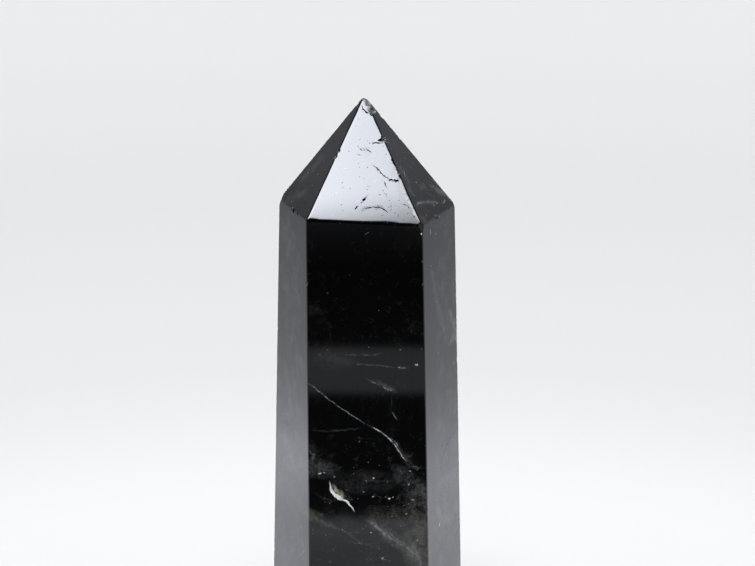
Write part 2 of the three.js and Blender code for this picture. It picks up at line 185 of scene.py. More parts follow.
# Strokes, flush with the polish: the kind of face, its number, the tone, width and strength, and
# the points it runs through. Broad faint ones come first, because a later one covers an earlier.
STROKES = (
    ("tall", 0, "milk", 2.2, 0.16, LOW_VEIN[2:]),
    ("tall", 0, "dust", 1.1, 0.55, LOW_VEIN),
    ("tall", 0, "dust", 1.5, 0.30, ((8.0, 45.5), (9.0, 44.0), (10.0, 41.6), (10.2, 38.5))),
    ("tall", 0, "dust", 0.5, 0.42, ((2.7, 48.0), (4.5, 46.5), (6.5, 44.9), (7.5, 44.2))),
    ("tall", 0, "dust", 0.7, 0.12, ((-9.4, 49.8), (-7.7, 48.5), (-4.3, 47.2), (-1.4, 44.9),
                                    (1.5, 44.1))),
    ("tall", 0, "milk", 0.9, 0.30, ((-11.4, 63.4), (-10.2, 62.3), (-10.6, 60.8))),
    ("tall", 0, "milk", 0.5, 0.10, ((-10.9, 67.4), (-7.6, 67.1), (-4.2, 67.4), (-0.4, 67.8))),
    ("tall", 0, "milk", 0.8, 0.10, ((-1.4, 57.6), (1.9, 57.2), (5.2, 57.3))),
    ("tall", 0, "vein", 0.5, 0.09, ((-5.4, 82.0), (-1.0, 82.0), (0.9, 82.0), (3.4, 82.4))),
    ("tall", 0, "vein", 0.5, 0.08, ((-3.6, 80.3), (0.4, 80.1), (3.2, 79.9), (5.8, 79.5))),
    ("tall", 0, "vein", 0.6, 0.16, ((5.3, 79.6), (6.5, 79.5), (8.0, 79.5))),
    ("tall", 0, "milk", 2.6, 0.04, ((-10.5, 82.0), (-6.0, 81.2), (-2.0, 80.2))),
    ("tall", 0, "milk", 1.5, 0.20, ((1.2, 77.4), (3.4, 75.9), (6.0, 74.6))),
    ("tall", 0, "milk", 1.3, 0.16, ((4.2, 66.1), (5.4, 64.7), (6.6, 62.6), (8.3, 60.4), (10.2, 59.6))),
    ("tall", 0, "vein", 0.32, 0.42, LONG_VEIN[:7]),
    ("tall", 0, "vein", 0.36, 0.85, LONG_VEIN[6:]),
    ("tall", 0, "vein", 0.30, 0.45, ((4.0, 66.1), (5.3, 65.1), (6.2, 63.4))),
    ("tall", 0, "vein", 0.40, 0.10, ((7.5, 61.0), (9.1, 60.0), (10.3, 59.7), (11.3, 59.8))),
    ("tall", 0, "vein", 0.50, 0.24, ((-0.2, 77.4), (1.2, 76.7), (2.9, 75.9))),
    ("tall", 0, "vein", 0.50, 0.50, ((2.4, 76.2), (3.6, 75.5), (4.9, 74.9))),
    ("tall", 0, "vein", 0.30, 0.03, ((4.7, 74.9), (4.6, 72.9), (4.7, 70.9))),
    ("tall", 0, "vein", 0.36, 0.50, ((4.6, 71.0), (5.1, 70.2), (5.7, 69.3))),
    ("tall", 0, "vein", 0.34, 0.24, ((-3.0, 45.1), (-2.2, 44.6), (-1.4, 44.9), (-0.8, 44.2))),
    ("tall", 0, "vein", 0.34, 0.20, ((2.2, 42.4), (2.9, 41.6), (4.0, 41.2))),
    ("tall", 1, "milk", 3.4, 0.24, ((-4.5, 51.2), (-1.1, 46.9), (5.4, 45.0))),
    ("tall", 1, "milk", 2.6, 0.40, ((9.0, 84.0), (7.4, 82.6), (5.7, 81.9), (3.0, 80.9))),
    ("tall", 1, "milk", 3.0, 0.34, ((3.9, 88.6), (5.6, 86.0), (7.2, 83.6), (8.6, 80.4))),
    ("tall", 1, "milk", 3.0, 0.16, ((-4.0, 98.0), (-1.0, 90.0), (2.0, 84.0))),
    ("tall", 1, "seam", 0.34, 0.50, ((7.3, 63.2), (3.5, 62.4), (1.1, 61.1), (-0.4, 59.3),
                                     (-1.8, 57.4))),
    ("tall", 1, "milk", 0.6, 0.9, ((-3.7, 105.4), (-3.5, 103.9))),
    ("tall", 1, "milk", 0.6, 0.7, ((-1.5, 104.4), (-0.9, 103.6))),
    ("tall", 5, "milk", 4.4, 0.28, ((-5.6, 63.6), (-1.2, 60.2), (3.2, 56.5))),
    ("tall", 5, "milk", 2.2, 0.16, ((-5.9, 57.5), (-1.9, 57.3), (1.4, 56.9))),
    ("tall", 5, "milk", 3.6, 0.14, ((-4.0, 78.0), (-1.0, 71.0), (-3.0, 66.0))),
    ("slope", 0, "scuff", 3.4, 0.10, ((-1.6, -11.2), (0.0, -11.5), (1.8, -11.6))),
    ("slope", 0, "scuff", 2.6, 0.10, ((4.6, -13.2), (5.8, -17.0), (7.2, -20.6), (9.4, -25.4))),
    ("slope", 0, "scuff", 2.6, 0.08, ((3.0, -21.6), (5.6, -22.4), (8.0, -24.6))),
    ("slope", 0, "scuff", 0.7, 0.45, ((0.9, -14.3), (1.5, -14.5), (2.3, -15.1), (3.2, -16.3),
                                      (3.9, -16.9), (4.7, -17.3))),
    ("slope", 0, "scuff", 0.8, 0.9, ((4.1, -17.4), (5.4, -17.55), (6.7, -17.75))),
    ("slope", 0, "scuff", 0.6, 0.7, ((5.9, -18.0), (7.0, -18.25))),
    ("slope", 0, "scuff", 1.3, 0.50, ((-1.5, -24.0), (-0.3, -23.3), (1.0, -22.9), (2.5, -22.9),
                                      (3.4, -23.3), (4.5, -24.3))),
    ("slope", 0, "scuff", 0.8, 0.7, ((0.7, -20.2), (0.1, -20.9), (-0.4, -21.6), (-1.0, -22.2))),
    ("slope", 0, "scuff", 0.6, 0.6, ((-1.3, -22.5), (-2.1, -23.4))),
    ("slope", 0, "scuff", 0.4, 0.5, ((0.3, -18.4), (0.5, -18.9), (1.0, -18.6))),
    ("slope", 0, "scuff", 0.7, 0.7, ((1.0, -9.95), (2.0, -9.9), (2.9, -9.95), (3.7, -9.85))),
    ("slope", 0, "scuff", 0.55, 1.0, ((-1.3, -10.5), (-0.9, -11.0), (-0.4, -11.7))),
    ("slope", 0, "scuff", 0.5, 0.9, ((-0.5, -10.8), (-0.1, -11.3), (0.1, -12.1))),
    ("slope", 0, "scuff", 0.6, 1.0, ((0.0, -10.9), (0.7, -11.5), (1.4, -12.0))),
    ("slope", 0, "scuff", 0.5, 0.7, ((-1.6, -12.0), (-1.0, -12.4), (-0.4, -12.6))),
    ("slope", 0, "scuff", 0.45, 0.6, ((3.5, -17.6), (3.8, -18.4), (4.1, -19.3))),
    ("slope", 0, "scuff", 0.4, 0.5, ((4.5, -13.9), (5.0, -14.1))),
    ("slope", 0, "scuff", 0.4, 0.5, ((5.1, -14.9), (5.8, -14.8))),
    ("slope", 0, "scuff", 0.45, 0.55, ((6.0, -22.1), (6.9, -22.2), (7.7, -22.6), (8.3, -23.2),
                                       (9.0, -23.1))),
    ("slope", 0, "scuff", 0.4, 0.5, ((4.8, -22.4), (4.7, -23.8))),
    ("slope", 0, "scuff", 0.35, 0.5, ((3.9, -20.1), (4.0, -21.3))),
    ("slope", 1, "olive", 3.2, 0.30, ((9.0, -23.4), (8.2, -21.4), (6.4, -19.6))),
    ("slope", 1, "milk", 2.4, 0.30, ((9.1, -24.2), (7.6, -23.0), (5.7, -21.7), (4.4, -20.4))),
    ("slope", 1, "olive", 2.4, 0.35, ((0.2, -20.6), (2.0, -20.8), (3.4, -20.0))),
    ("slope", 1, "rust", 2.4, 0.7, ((-4.8, -25.7), (-4.2, -27.0), (-3.7, -28.2))),
    ("slope", 1, "milk", 1.6, 0.18, ((-2.6, -15.1), (-1.8, -17.6), (-2.7, -20.1), (-4.3, -22.0))),
    ("slope", 1, "milk", 1.2, 0.30, ((-4.6, -24.1), (-2.7, -23.6), (-1.0, -23.7), (1.8, -24.1),
                                     (4.8, -24.6))),
    ("slope", 1, "vein", 0.7, 0.28, ((-4.4, -23.9), (-2.7, -23.6), (-1.8, -23.6), (-0.2, -23.8))),
    ("slope", 1, "vein", 0.36, 0.55, ((1.4, -23.8), (2.3, -24.4), (3.2, -24.6), (4.6, -24.6))),
    ("slope", 1, "vein", 0.34, 0.35, ((1.2, -24.9), (2.8, -24.8))),
    ("slope", 1, "vein", 0.5, 0.40, ((4.7, -24.9), (5.7, -24.9), (6.7, -24.7), (6.9, -24.3),
                                     (6.4, -23.9))),
    ("slope", 1, "seam", 0.8, 0.9, ((-3.8, -28.0), (-1.9, -27.6), (-0.3, -27.3))),
    ("slope", 1, "vein", 0.4, 0.5, ((-0.4, -27.1), (0.3, -26.8), (0.9, -26.9), (1.3, -27.3))),
    ("slope", 1, "vein", 0.34, 0.25, ((-3.6, -21.2), (-2.8, -21.8), (-2.1, -22.5))),
    ("slope", 1, "vein", 0.3, 0.3, ((-1.3, -15.3), (-1.2, -16.6), (-2.1, -17.8), (-1.7, -18.6))),
    ("slope", 1, "vein", 0.3, 0.3, ((0.0, -19.5), (1.1, -19.6))),
    ("slope", 1, "vein", 0.4, 0.35, ((-5.0, -19.0), (-3.8, -19.2))),
    ("slope", 1, "vein", 0.45, 0.4, ((-2.1, -10.4), (-0.6, -10.5))),
    ("slope", 5, "milk", 3.4, 0.10, ((-4.6, -20.6), (-2.6, -17.0), (-1.4, -13.0))),
    ("slope", 5, "milk", 3.4, 0.10, ((-6.6, -25.0), (-3.0, -23.6), (0.8, -21.0))),
    ("tall", 2, "vein", 0.45, 0.4, ((-7.6, 84.2), (-4.8, 80.9), (-1.0, 78.8), (2.2, 74.4),
                                    (6.1, 72.3))),
    ("tall", 3, "dust", 2.2, 0.24, ((-9.6, 43.2), (-6.2, 46.1), (-1.4, 47.6), (3.5, 52.3),
                                    (8.9, 55.1))),
    ("tall", 3, "vein", 0.45, 0.7, ((-9.6, 44.0), (-6.2, 47.1), (-1.4, 48.6), (3.5, 53.3),
                                    (8.9, 56.1))),
    ("tall", 3, "vein", 0.36, 0.4, ((3.2, 53.0), (4.1, 49.2), (6.6, 45.5))),
    ("tall", 4, "vein", 0.45, 0.55, ((-8.0, 66.3), (-4.1, 62.5), (-0.6, 61.6), (3.3, 57.0),
                                     (8.6, 55.4))),
    ("tall", 5, "vein", 0.36, 0.25, ((-6.8, 36.0), (-3.5, 33.0), (1.0, 31.9), (5.6, 27.4))),
)

# Fog deep in the front face, as long clouds: the middle across and up, half the length and width,
# the turn in degrees, and how much there is of milk and of olive.
FOG = (
    (10.4, 47.5, 11.5, 4.4, 90, 0.29, 0.22),
    (8.0, 57.6, 5.2, 2.2, -42, 0.35, 0.0),
    (9.4, 53.6, 3.6, 3.2, 90, 0.26, 0.0),
    (4.8, 46.2, 8.0, 1.7, -38, 0.30, 0.0),
    (9.8, 41.6, 5.0, 3.0, -75, 0.30, 0.1),
    (4.6, 50.6, 6.0, 2.6, -6, 0.10, 0.30),
    (-11.4, 51.1, 4.6, 1.5, -20, 0.15, 0.5),
    (-9.4, 49.8, 4.6, 1.0, -24, 0.32, 0.0),
    (-9.8, 60.2, 5.2, 2.4, -8, 0.36, 0.0),
    (-10.8, 63.6, 2.0, 1.8, 0, 0.14, 0.0),
    (-0.5, 57.4, 8.0, 3.0, 0, 0.12, 0.0),
    (-6.5, 81.6, 6.0, 2.6, -6, 0.06, 0.0),
)

# The cleft: an olive film, the bright belly of trapped air beside it, and the air's thin line.
CLEFT = (
    ("tall", 0, "film", 1.7, 1.15, ((-6.7, 56.9), (-6.3, 55.6), (-5.65, 54.9), (-4.9, 54.4),
                                    (-4.2, 53.5))),
    ("tall", 0, "air", 0.85, 1.0, ((-7.05, 56.3), (-6.85, 55.3), (-6.15, 54.4), (-5.35, 53.9),
                                   (-4.3, 53.4))),
    ("tall", 0, "air", 0.36, 1.0, ((-7.2, 57.4), (-7.05, 55.9), (-6.85, 55.1), (-6.2, 54.3),
                                   (-5.4, 53.8), (-4.6, 53.5), (-3.9, 53.2), (-3.3, 52.4), (-2.3, 51.0))),
)

# Inclusions: across, up, length, width, turn in degrees, and strength.
FRONT_SPECKS = (
    (-9.1, 58.75, 0.72, 0.45, 20, 0.9), (-8.25, 58.9, 0.56, 0.25, -40, 0.5),
    (-6.3, 58.1, 0.4, 0.33, 0, 0.45), (1.2, 57.85, 0.44, 0.37, 0, 0.9),
    (-0.2, 57.3, 0.36, 0.25, 30, 0.4), (-0.7, 55.1, 0.44, 0.29, 10, 0.35),
    (1.1, 54.15, 0.48, 0.33, 10, 0.7), (4.2, 53.75, 0.7, 0.42, 15, 0.95),
    (4.9, 54.05, 0.5, 0.22, 40, 0.8), (3.5, 54.1, 0.4, 0.25, -20, 0.3),
    (8.2, 59.25, 0.4, 0.33, 0, 0.7), (7.9, 56.6, 0.56, 0.37, 70, 0.4),
    (0.2, 61.0, 0.32, 0.25, 0, 0.3), (-2.6, 58.7, 0.28, 0.25, 0, 0.3),
    (-1.8, 53.7, 0.32, 0.2, 50, 0.25), (0.7, 46.9, 0.4, 0.33, 0, 0.9),
    (-4.8, 47.5, 0.4, 0.29, 15, 0.3), (-0.3, 48.3, 0.28, 0.25, 0, 0.25),
    (2.95, 41.75, 0.56, 0.33, 40, 0.8), (4.3, 41.2, 0.28, 0.25, 0, 0.4),
    (9.6, 45.4, 0.36, 0.29, 0, 0.4), (8.7, 53.5, 0.72, 0.49, 0, 0.25),
    (9.3, 80.1, 0.68, 0.53, 0, 0.6), (10.2, 105.1, 0.6, 0.49, 80, 1.0),
    (-1.5, 65.1, 0.32, 0.29, 0, 0.25), (6.2, 83.0, 0.36, 0.25, 0, 0.3),
    (6.0, 79.6, 0.64, 0.33, -10, 0.3), (-7.5, 83.0, 0.32, 0.25, 0, 0.3),
    (-8.9, 82.0, 0.32, 0.25, 0, 0.2), (0.3, 83.5, 0.32, 0.25, 0, 0.25),
    (10.2, 83.2, 0.32, 0.25, 0, 0.25), (0.0, 105.2, 1.04, 0.18, 35, 0.35),
    (-10.1, 62.5, 0.4, 0.33, 0, 0.25), (-10.8, 63.2, 0.32, 0.25, 0, 0.2),
    (7.2, 57.5, 0.32, 0.25, 0, 0.3), (8.7, 57.0, 0.32, 0.2, 0, 0.25),
    (7.5, 50.7, 0.64, 0.41, 20, 0.2), (-7.4, 93.9, 0.32, 0.25, 0, 0.2),
    (2.2, 90.6, 0.28, 0.25, 0, 0.15), (-3.3, 97.3, 0.24, 0.2, 0, 0.12),
)

# Pits in the front slope and on the shoulder: the kind of face, its number, the place across and
# up, length, width, turn in degrees and depth.
PITS = (
    ("slope", 0, 3.05, -9.35, 1.3, 0.6, 8, 0.3),
    ("slope", 0, 0.9, -9.95, 0.22, 0.2, 0, 0.064),
    ("slope", 0, 2.7, -20.4, 0.26, 0.2, 20, 0.064),
    ("slope", 0, 3.9, -20.3, 0.22, 0.18, 0, 0.064),
    ("slope", 0, 4.75, -22.6, 0.18, 0.3, 0, 0.064),
    ("slope", 0, 4.7, -23.6, 0.22, 0.18, 0, 0.064),
    ("slope", 0, -4.3, -18.0, 0.22, 0.18, 0, 0.064),
    ("slope", 0, -4.2, -19.0, 0.17, 0.15, 0, 0.048),
    ("slope", 0, -2.8, -19.2, 0.17, 0.15, 0, 0.048),
    ("slope", 0, -4.5, -22.4, 0.22, 0.18, 0, 0.064),
    ("slope", 0, -4.2, -23.6, 0.17, 0.15, 0, 0.048),
    ("slope", 0, -1.0, -16.8, 0.22, 0.15, 30, 0.056),
    ("slope", 0, -0.2, -17.2, 0.18, 0.15, 0, 0.048),
    ("slope", 0, 3.1, -24.6, 0.22, 0.18, 0, 0.064),
    ("slope", 0, 7.9, -24.1, 0.26, 0.18, 30, 0.064),
    ("slope", 0, 9.0, -24.9, 0.22, 0.18, 0, 0.064),
    ("slope", 0, -3.0, -11.6, 0.2, 0.18, 0, 0.056),
    ("slope", 0, -1.2, -14.1, 0.17, 0.15, 0, 0.048),
    ("slope", 0, 5.5, -24.1, 0.22, 0.17, 40, 0.064),
    ("slope", 0, 6.0, -24.7, 0.18, 0.15, 0, 0.048),
    ("slope", 5, -0.65, -26.15, 1.8, 0.95, -50, 0.4),
    ("slope", 5, 1.35, -26.5, 1.0, 0.6, -30, 0.25),
    ("slope", 1, 0.5, -27.55, 1.1, 0.34, 12, 0.12),
    ("slope", 1, -5.7, -27.9, 0.7, 0.4, 60, 0.14),
    ("slope", 1, 3.4, -22.8, 0.3, 0.24, 0, 0.08),
)

# How much is strewn over the other five faces of each kind, where 0 is the front one.
OTHER_FACES = range(1, 6)
STROKES_ON_TALL = 7
STROKES_ON_SLOPE = 5
FLECKS_ON_TALL = 26
PITS_ON_SLOPE = 26

# The faces beside the front one are calmer than those behind: a part of the strokes' strength.
CALM = {1: 0.25, 5: 0.25}

# The number that each kind of chance starts from.
SEEDS = {"edges": 11, "flecks": 3, "fleck strengths": 9, "pits": 5, "strokes": 17, "cracks": 60,
         "cleft": 91}

# How many seeds each stroke and each crack has to itself.
STROKE_SEEDS = 7
CRACK_SEEDS = 3

# How much deeper a stroke is let in than the one before it, as a part of the first one's depth, on
# the faces and in the cleft, and how many times as deep as the cleft the front face's specks go.
LAYER_STEP = 0.15
CLEFT_STEP = 0.1
SPECK_DEPTH = 1.4


def direction(azimuth, lift):
    """Unit vectors that look towards azimuths from the front to the right, tipped up by lifts."""
    turn, rise = np.radians(azimuth), np.radians(lift)
    return np.stack([np.sin(turn) * np.cos(rise), -np.cos(turn) * np.cos(rise),
                     np.sin(rise) * np.ones_like(turn)], -1)


def unit(vectors):
    """Vectors divided by their own lengths; one without length stays as it is."""
    return vectors / np.maximum(np.linalg.norm(vectors, axis=-1, keepdims=True), 1e-12)


TALL_NORMALS = direction(TALL_FACES[:, 0], TALL_FACES[:, 1])
TALL_REACH = TALL_FACES[:, 2]


def corners(heights):
    """Where each tall face and the next one meet at the given heights: three planes solved."""
    level = np.broadcast_to([0.0, 0.0, 1.0], (6, 3))
    planes = np.stack([TALL_NORMALS, np.roll(TALL_NORMALS, -1, 0), level], 1)
    reach = np.stack([TALL_REACH, np.roll(TALL_REACH, -1), heights], 1)
    return np.linalg.solve(planes, reach[..., None])[..., 0]


SHOULDER = corners(TALL_FACES[:, 3])
FOOT = corners(np.zeros(6))
SLOPE_NORMALS = unit(np.cross(SHOULDER - np.roll(SHOULDER, 1, 0), TIP - SHOULDER))
DOWN = np.array([0.0, 0.0, -1.0])


def edge_sides(kind):
    """The two planes beside each of the six edges of a kind: normals and reaches of both."""
    slope_reach = SLOPE_NORMALS @ TIP
    tall, slope = (TALL_NORMALS, TALL_REACH), (SLOPE_NORMALS, slope_reach)
    foot = (np.broadcast_to(DOWN, (6, 3)), np.zeros(6))

    def following(side):
        return np.roll(side[0], -1, 0), np.roll(side[1], -1)

    return {"ridge": (slope, following(slope)), "shoulder": (tall, slope),
            "upright": (tall, following(tall)), "foot": (tall, foot)}[kind]


def eased(kind, width):
    """Planes that take the sharp edges of a kind off and leave flat strips of the given width."""
    (one, one_reach), (other, other_reach) = edge_sides(kind)
    sums = one + other
    lengths = np.linalg.norm(sums, axis=1)
    half_turn = np.arccos(np.clip((one * other).sum(1), -1, 1)) / 2
    return unit(sums), (one_reach + other_reach) / lengths - width * np.tan(half_turn) / 2


def ground_planes(sizes):
    """Normals and reaches of every flat that was ground or worn on the stone."""
    strips = [eased(kind, sizes.edge_ease / MM) for kind in ("ridge", "shoulder", "upright")]
    strips.append(eased("foot", sizes.foot_bevel / MM))
    worn = direction(WORN_CORNERS[:, 1], WORN_CORNERS[:, 2])
    worn_at = SHOULDER[WORN_CORNERS[:, 0].astype(int)]
    worn_reach = (worn * worn_at).sum(1) - WORN_CORNERS[:, 3]
    tip_way = direction(*WORN_TIP)
    tip_reach = tip_way @ TIP - sizes.tip_wear / MM
    normals = np.vstack([TALL_NORMALS, SLOPE_NORMALS, DOWN, worn, tip_way, *[n for n, _ in strips]])
    reaches = np.concatenate([TALL_REACH, SLOPE_NORMALS @ TIP, [0.0], worn_reach, [tip_reach],
                              *[reach for _, reach in strips]])
    return normals, reaches


def ripple(points, seed, wavelength):
    """Smooth noise between about -1 and 1: the mean of four sine waves that run in seeded ways."""
    rng = np.random.default_rng(seed)
    ways = unit(rng.normal(size=(4, points.shape[-1]))) * rng.uniform(0.7, 1.6, (4, 1))
    phases = rng.uniform(0, 2 * np.pi, 4)
    return np.sin(points @ ways.T * (2 * np.pi / wavelength) + phases).sum(-1) / 2.2


# The length, in millimetres, over which an edge's softness varies.
EDGE_WAVE = 5.0


class Ground:
    """The polished surface, as the smooth meeting of all its planes."""

    def __init__(self, sizes):
        self.normals, self.reaches = ground_planes(sizes)
        self.softness = sizes.edge_softness / MM
        self.unevenness = sizes.edge_unevenness

    def outside(self, points):
        """How far points stand outside the stone, and the way its surface looks there.

        The distance is the smooth greatest of the distances from the planes, which is s times the
        logarithm of the sum of exp(distance / s), with s the softness of the edges. The way is the
        same blend of the planes' normals.
        """
        uneven = np.clip(ripple(points, SEEDS["edges"], EDGE_WAVE), -1, 1)
        s = self.softness * (1 + self.unevenness * uneven)[:, None]
        away = points @ self.normals.T - self.reaches
        most = away.max(1, keepdims=True)
        weight = np.exp((away - most) / s)
        total = weight.sum(1, keepdims=True)
        return (most + s * np.log(total))[:, 0], weight @ self.normals / total

    def settle(self, points, rounds=6):
        """Slides points along the surface's way until they lie on it."""
        for _ in range(rounds):
            distance, way = self.outside(points)
            points = points - (distance / (way ** 2).sum(1))[:, None] * way
        return points


# Meshes

FINISHES = ("polish", "break", "pit")
NO_INLAY = (0.0, 1.0, 0.0)


class Shell(NamedTuple):
    """A closed tube of points with what its surface is to be.

    lay holds three measures for each point: how crisp an inlay is, from 0 to 2, the place across
    it from -1 to 1, and the inlay's strength. finish is a name from FINISHES, tone one from TONES.
    """
    points: np.ndarray
    faces: list
    lay: np.ndarray
    finish: str
    tone: str = "milk"


def tube(rings, finish, lay=NO_INLAY, tone="milk"):
    """Closes a stack of rings, rows x around x 3, with quads between them and a fan at each end."""
    rows, around = rings.shape[:2]

    def stacked(values):
        return np.vstack([values.reshape(-1, 3), values[0].mean(0), values[-1].mean(0)])

    column = np.arange(around)
    following = (column + 1) % around
    start = np.arange(rows - 1)[:, None] * around
    quads = np.stack([start + column, start + following, start + following + around,
                      start + column + around], -1).reshape(-1, 4)
    last = (rows - 1) * around
    low, high = rows * around, rows * around + 1
    bottom = np.stack([following, column, np.full(around, low)], -1)
    top = np.stack([last + column, last + following, np.full(around, high)], -1)
    faces = [*quads.tolist(), *bottom.tolist(), *top.tolist()]
    lay = np.broadcast_to(np.asarray(lay, float), rings.shape)
    return Shell(stacked(rings), faces, stacked(lay), finish, tone)


def solid(name, shells):
    """An object, in millimetres, of several shells that don't touch each other."""
    starts = np.cumsum([0, *[len(shell.points) for shell in shells]])
    faces = [[corner + start for corner in face]
             for shell, start in zip(shells, starts) for face in shell.faces]
    mesh = bpy.data.meshes.new(name)
    mesh.from_pydata(np.vstack([shell.points for shell in shells]), [], faces)
    vertex = np.empty(len(mesh.loops), np.int32)
    mesh.loops.foreach_get("vertex_index", vertex)
    shell_of = np.searchsorted(starts, vertex, side="right") - 1
    finishes = [FINISHES.index(shell.finish) for shell in shells]
    mark = mesh.attributes.new("finish", "INT", "FACE")
    mark.data.foreach_set("value", np.repeat(finishes, [len(shell.faces) for shell in shells]))
    lay = mesh.attributes.new("lay", "FLOAT_VECTOR", "CORNER")
    lay.data.foreach_set("vector", np.vstack([shell.lay for shell in shells])[vertex].ravel())
    dyes = np.array([[*TONES[shell.tone][0], TONES[shell.tone][1]] for shell in shells])
    dye = mesh.attributes.new("dye", "FLOAT_COLOR", "CORNER")
    dye.data.foreach_set("color", dyes[shell_of].ravel())
    thing = bpy.data.objects.new(name, mesh)
    bpy.context.scene.collection.objects.link(thing)
    return thing


# Distances from an edge at which the surface has a row or a column of points, dense where the edge
# turns, and the same as parts of a face's width.
FROM_EDGE = np.array([0.03, 0.06, 0.09, 0.12, 0.15, 0.19, 0.24, 0.32, 0.44, 0.62, 0.9, 1.4, 2.4, 4.2,
                      7.5])
COLUMN_PARTS = np.array([0, 0.0018, 0.0036, 0.0055, 0.0075, 0.0098, 0.0125, 0.016, 0.021, 0.029, 0.042,
                         0.065, 0.11, 0.19, 0.32])

# The rows away from the edges, as parts of the way over the foot, up the shaft and up the slopes.
FOOT_ROWS = [0.3, 0.6]
SHAFT_ROWS = [0.14, 0.26, 0.38, 0.5, 0.62, 0.74, 0.86]
SLOPE_ROWS = [0.36, 0.48, 0.6, 0.7]


def blank(ground):
    """The ground stone: rings round the foot, the shaft and the slopes, settled on the surface.

    A ring's points run along the six edges of a hexagon. On the foot it shrinks to the middle, on
    the shaft it goes from the foot's corners to the shoulder's, and on the slopes to the tip.
    """
    part = np.concatenate([COLUMN_PARTS, [0.5], 1 - COLUMN_PARTS[:0:-1]])[:, None]

    def hexagon(at):
        before = np.roll(at, 1, 0)[:, None]
        return (before + (at[:, None] - before) * part).reshape(-1, 3)

    low, high = hexagon(FOOT), hexagon(SHOULDER)
    middle = FOOT.mean(0)
    shaft_length = TALL_FACES[:, 3].mean()
    slope_length = np.linalg.norm(SHOULDER - TIP, axis=1).mean()
    foot_width = np.linalg.norm(FOOT - middle, axis=1).mean()
    from_foot = FROM_EDGE / shaft_length
    on_foot = np.concatenate([FOOT_ROWS, 1 - FROM_EDGE[::-1][1:] / foot_width, [1.0]])
    on_shaft = np.concatenate([from_foot, SHAFT_ROWS, 1 - from_foot[::-1], [1.0]])
    from_shoulder = FROM_EDGE / slope_length
    on_slope = np.concatenate([from_shoulder, SLOPE_ROWS, 1 - from_shoulder[::-1][2:]])
    rings = np.concatenate([
        middle + on_foot[:, None, None] * (low - middle),
        low + on_shaft[:, None, None] * (high - low),
        high + on_slope[:, None, None] * (TIP - high),
    ])
    return tube(ground.settle(rings.reshape(-1, 3)).reshape(rings.shape), "polish")


def place_on(local, place, along, outwards):
    """Local points carried to a place, X along one direction and Z outwards."""
    x = unit(np.asarray(along, float))
    z = unit(outwards - (outwards @ x) * x)
    return place + local @ np.stack([x, np.cross(z, x), z])


def edge_line(kind, number):
    """An edge's start, end and outward way halfway between its two faces."""
    before, after = (number - 1) % 6, (number + 1) % 6
    lines = {
        "ridge": (TIP, SHOULDER[number], SLOPE_NORMALS[number] + SLOPE_NORMALS[after]),
        "shoulder": (SHOULDER[before], SHOULDER[number], TALL_NORMALS[number] + SLOPE_NORMALS[number]),
        "upright": (SHOULDER[number], FOOT[number], TALL_NORMALS[number] + TALL_NORMALS[after]),
        "foot": (FOOT[before], FOOT[number], TALL_NORMALS[number] + DOWN),
    }
    start, end, way = lines[kind]
    return start, end, unit(way)


def turned(vector, axis, degrees):
    """A vector turned about an axis at right angles to it."""
    angle = np.radians(degrees)
    return vector * np.cos(angle) + np.cross(axis, vector) * np.sin(angle)


def chip(kind, number, way, long, wide, deep, tilt):
    """A shell-shaped bowl: a paraboloid with an uneven outline, rippled in rings round the blow."""
    start, end, outwards = edge_line(kind, number)
    run = unit(end - start)
    rng = np.random.default_rng([number, int(way * 10), len(kind)])
    out = np.concatenate([np.linspace(0.06, 1.0, 15), [1.12, 1.3]])[:, None]
    angle = np.linspace(0, 2 * np.pi, 44, endpoint=False)[None]
    lobes = rng.uniform(0, 2 * np.pi, 3)
    outline = 1 + 0.10 * np.sin(2 * angle + lobes[0]) + 0.07 * np.sin(3 * angle + lobes[1])
    outline = outline + 0.035 * np.sin(7 * angle + lobes[2])
    x, y = out * outline * np.cos(angle), out * outline * np.sin(angle)
    blow = rng.uniform(0, 2 * np.pi)
    from_blow = np.hypot(x - 0.95 * np.cos(blow), y - 0.95 * np.sin(blow))
    rings = 0.10 * np.sin(2 * np.pi * 2.6 * from_blow)
    rings = rings * np.clip(1.15 - out, 0, 1) * np.clip(from_blow, 0, 1)
    z = deep * (out ** 2 - 1 + rings)
    local = np.stack([x * long / 2, y * wide / 2, z * np.ones_like(x)], -1)
    place = start + run * way
    return tube(place_on(local, place, run, turned(outwards, run, tilt)), "break")


def on_face(kind, number, spots):
    """Places on a face from their measures across and up it, and the way the face looks."""
    normal = (SLOPE_NORMALS if kind == "slope" else TALL_NORMALS)[number]
    start = TIP if kind == "slope" else normal * TALL_REACH[number]
    level = unit(np.array([-normal[1], normal[0], 0.0]))
    spots = np.asarray(spots, float)
    return start + spots[..., :1] * level + spots[..., 1:] * np.cross(normal, level), normal


def along_path(kind, number, spots, step):
    """Points at even steps along a line on a face, the way to each, and how the line lies there."""
    path, outwards = on_face(kind, number, spots)
    legs = np.linalg.norm(np.diff(path, axis=0), axis=1)
    length = np.concatenate([[0], np.cumsum(legs)])
    way = np.linspace(0, length[-1], max(6, int(length[-1] / step)))
    line = np.stack([np.interp(way, length, path[:, k]) for k in range(3)], -1)
    run = unit(np.gradient(line, axis=0))
    return line, way, np.cross(outwards, run), outwards


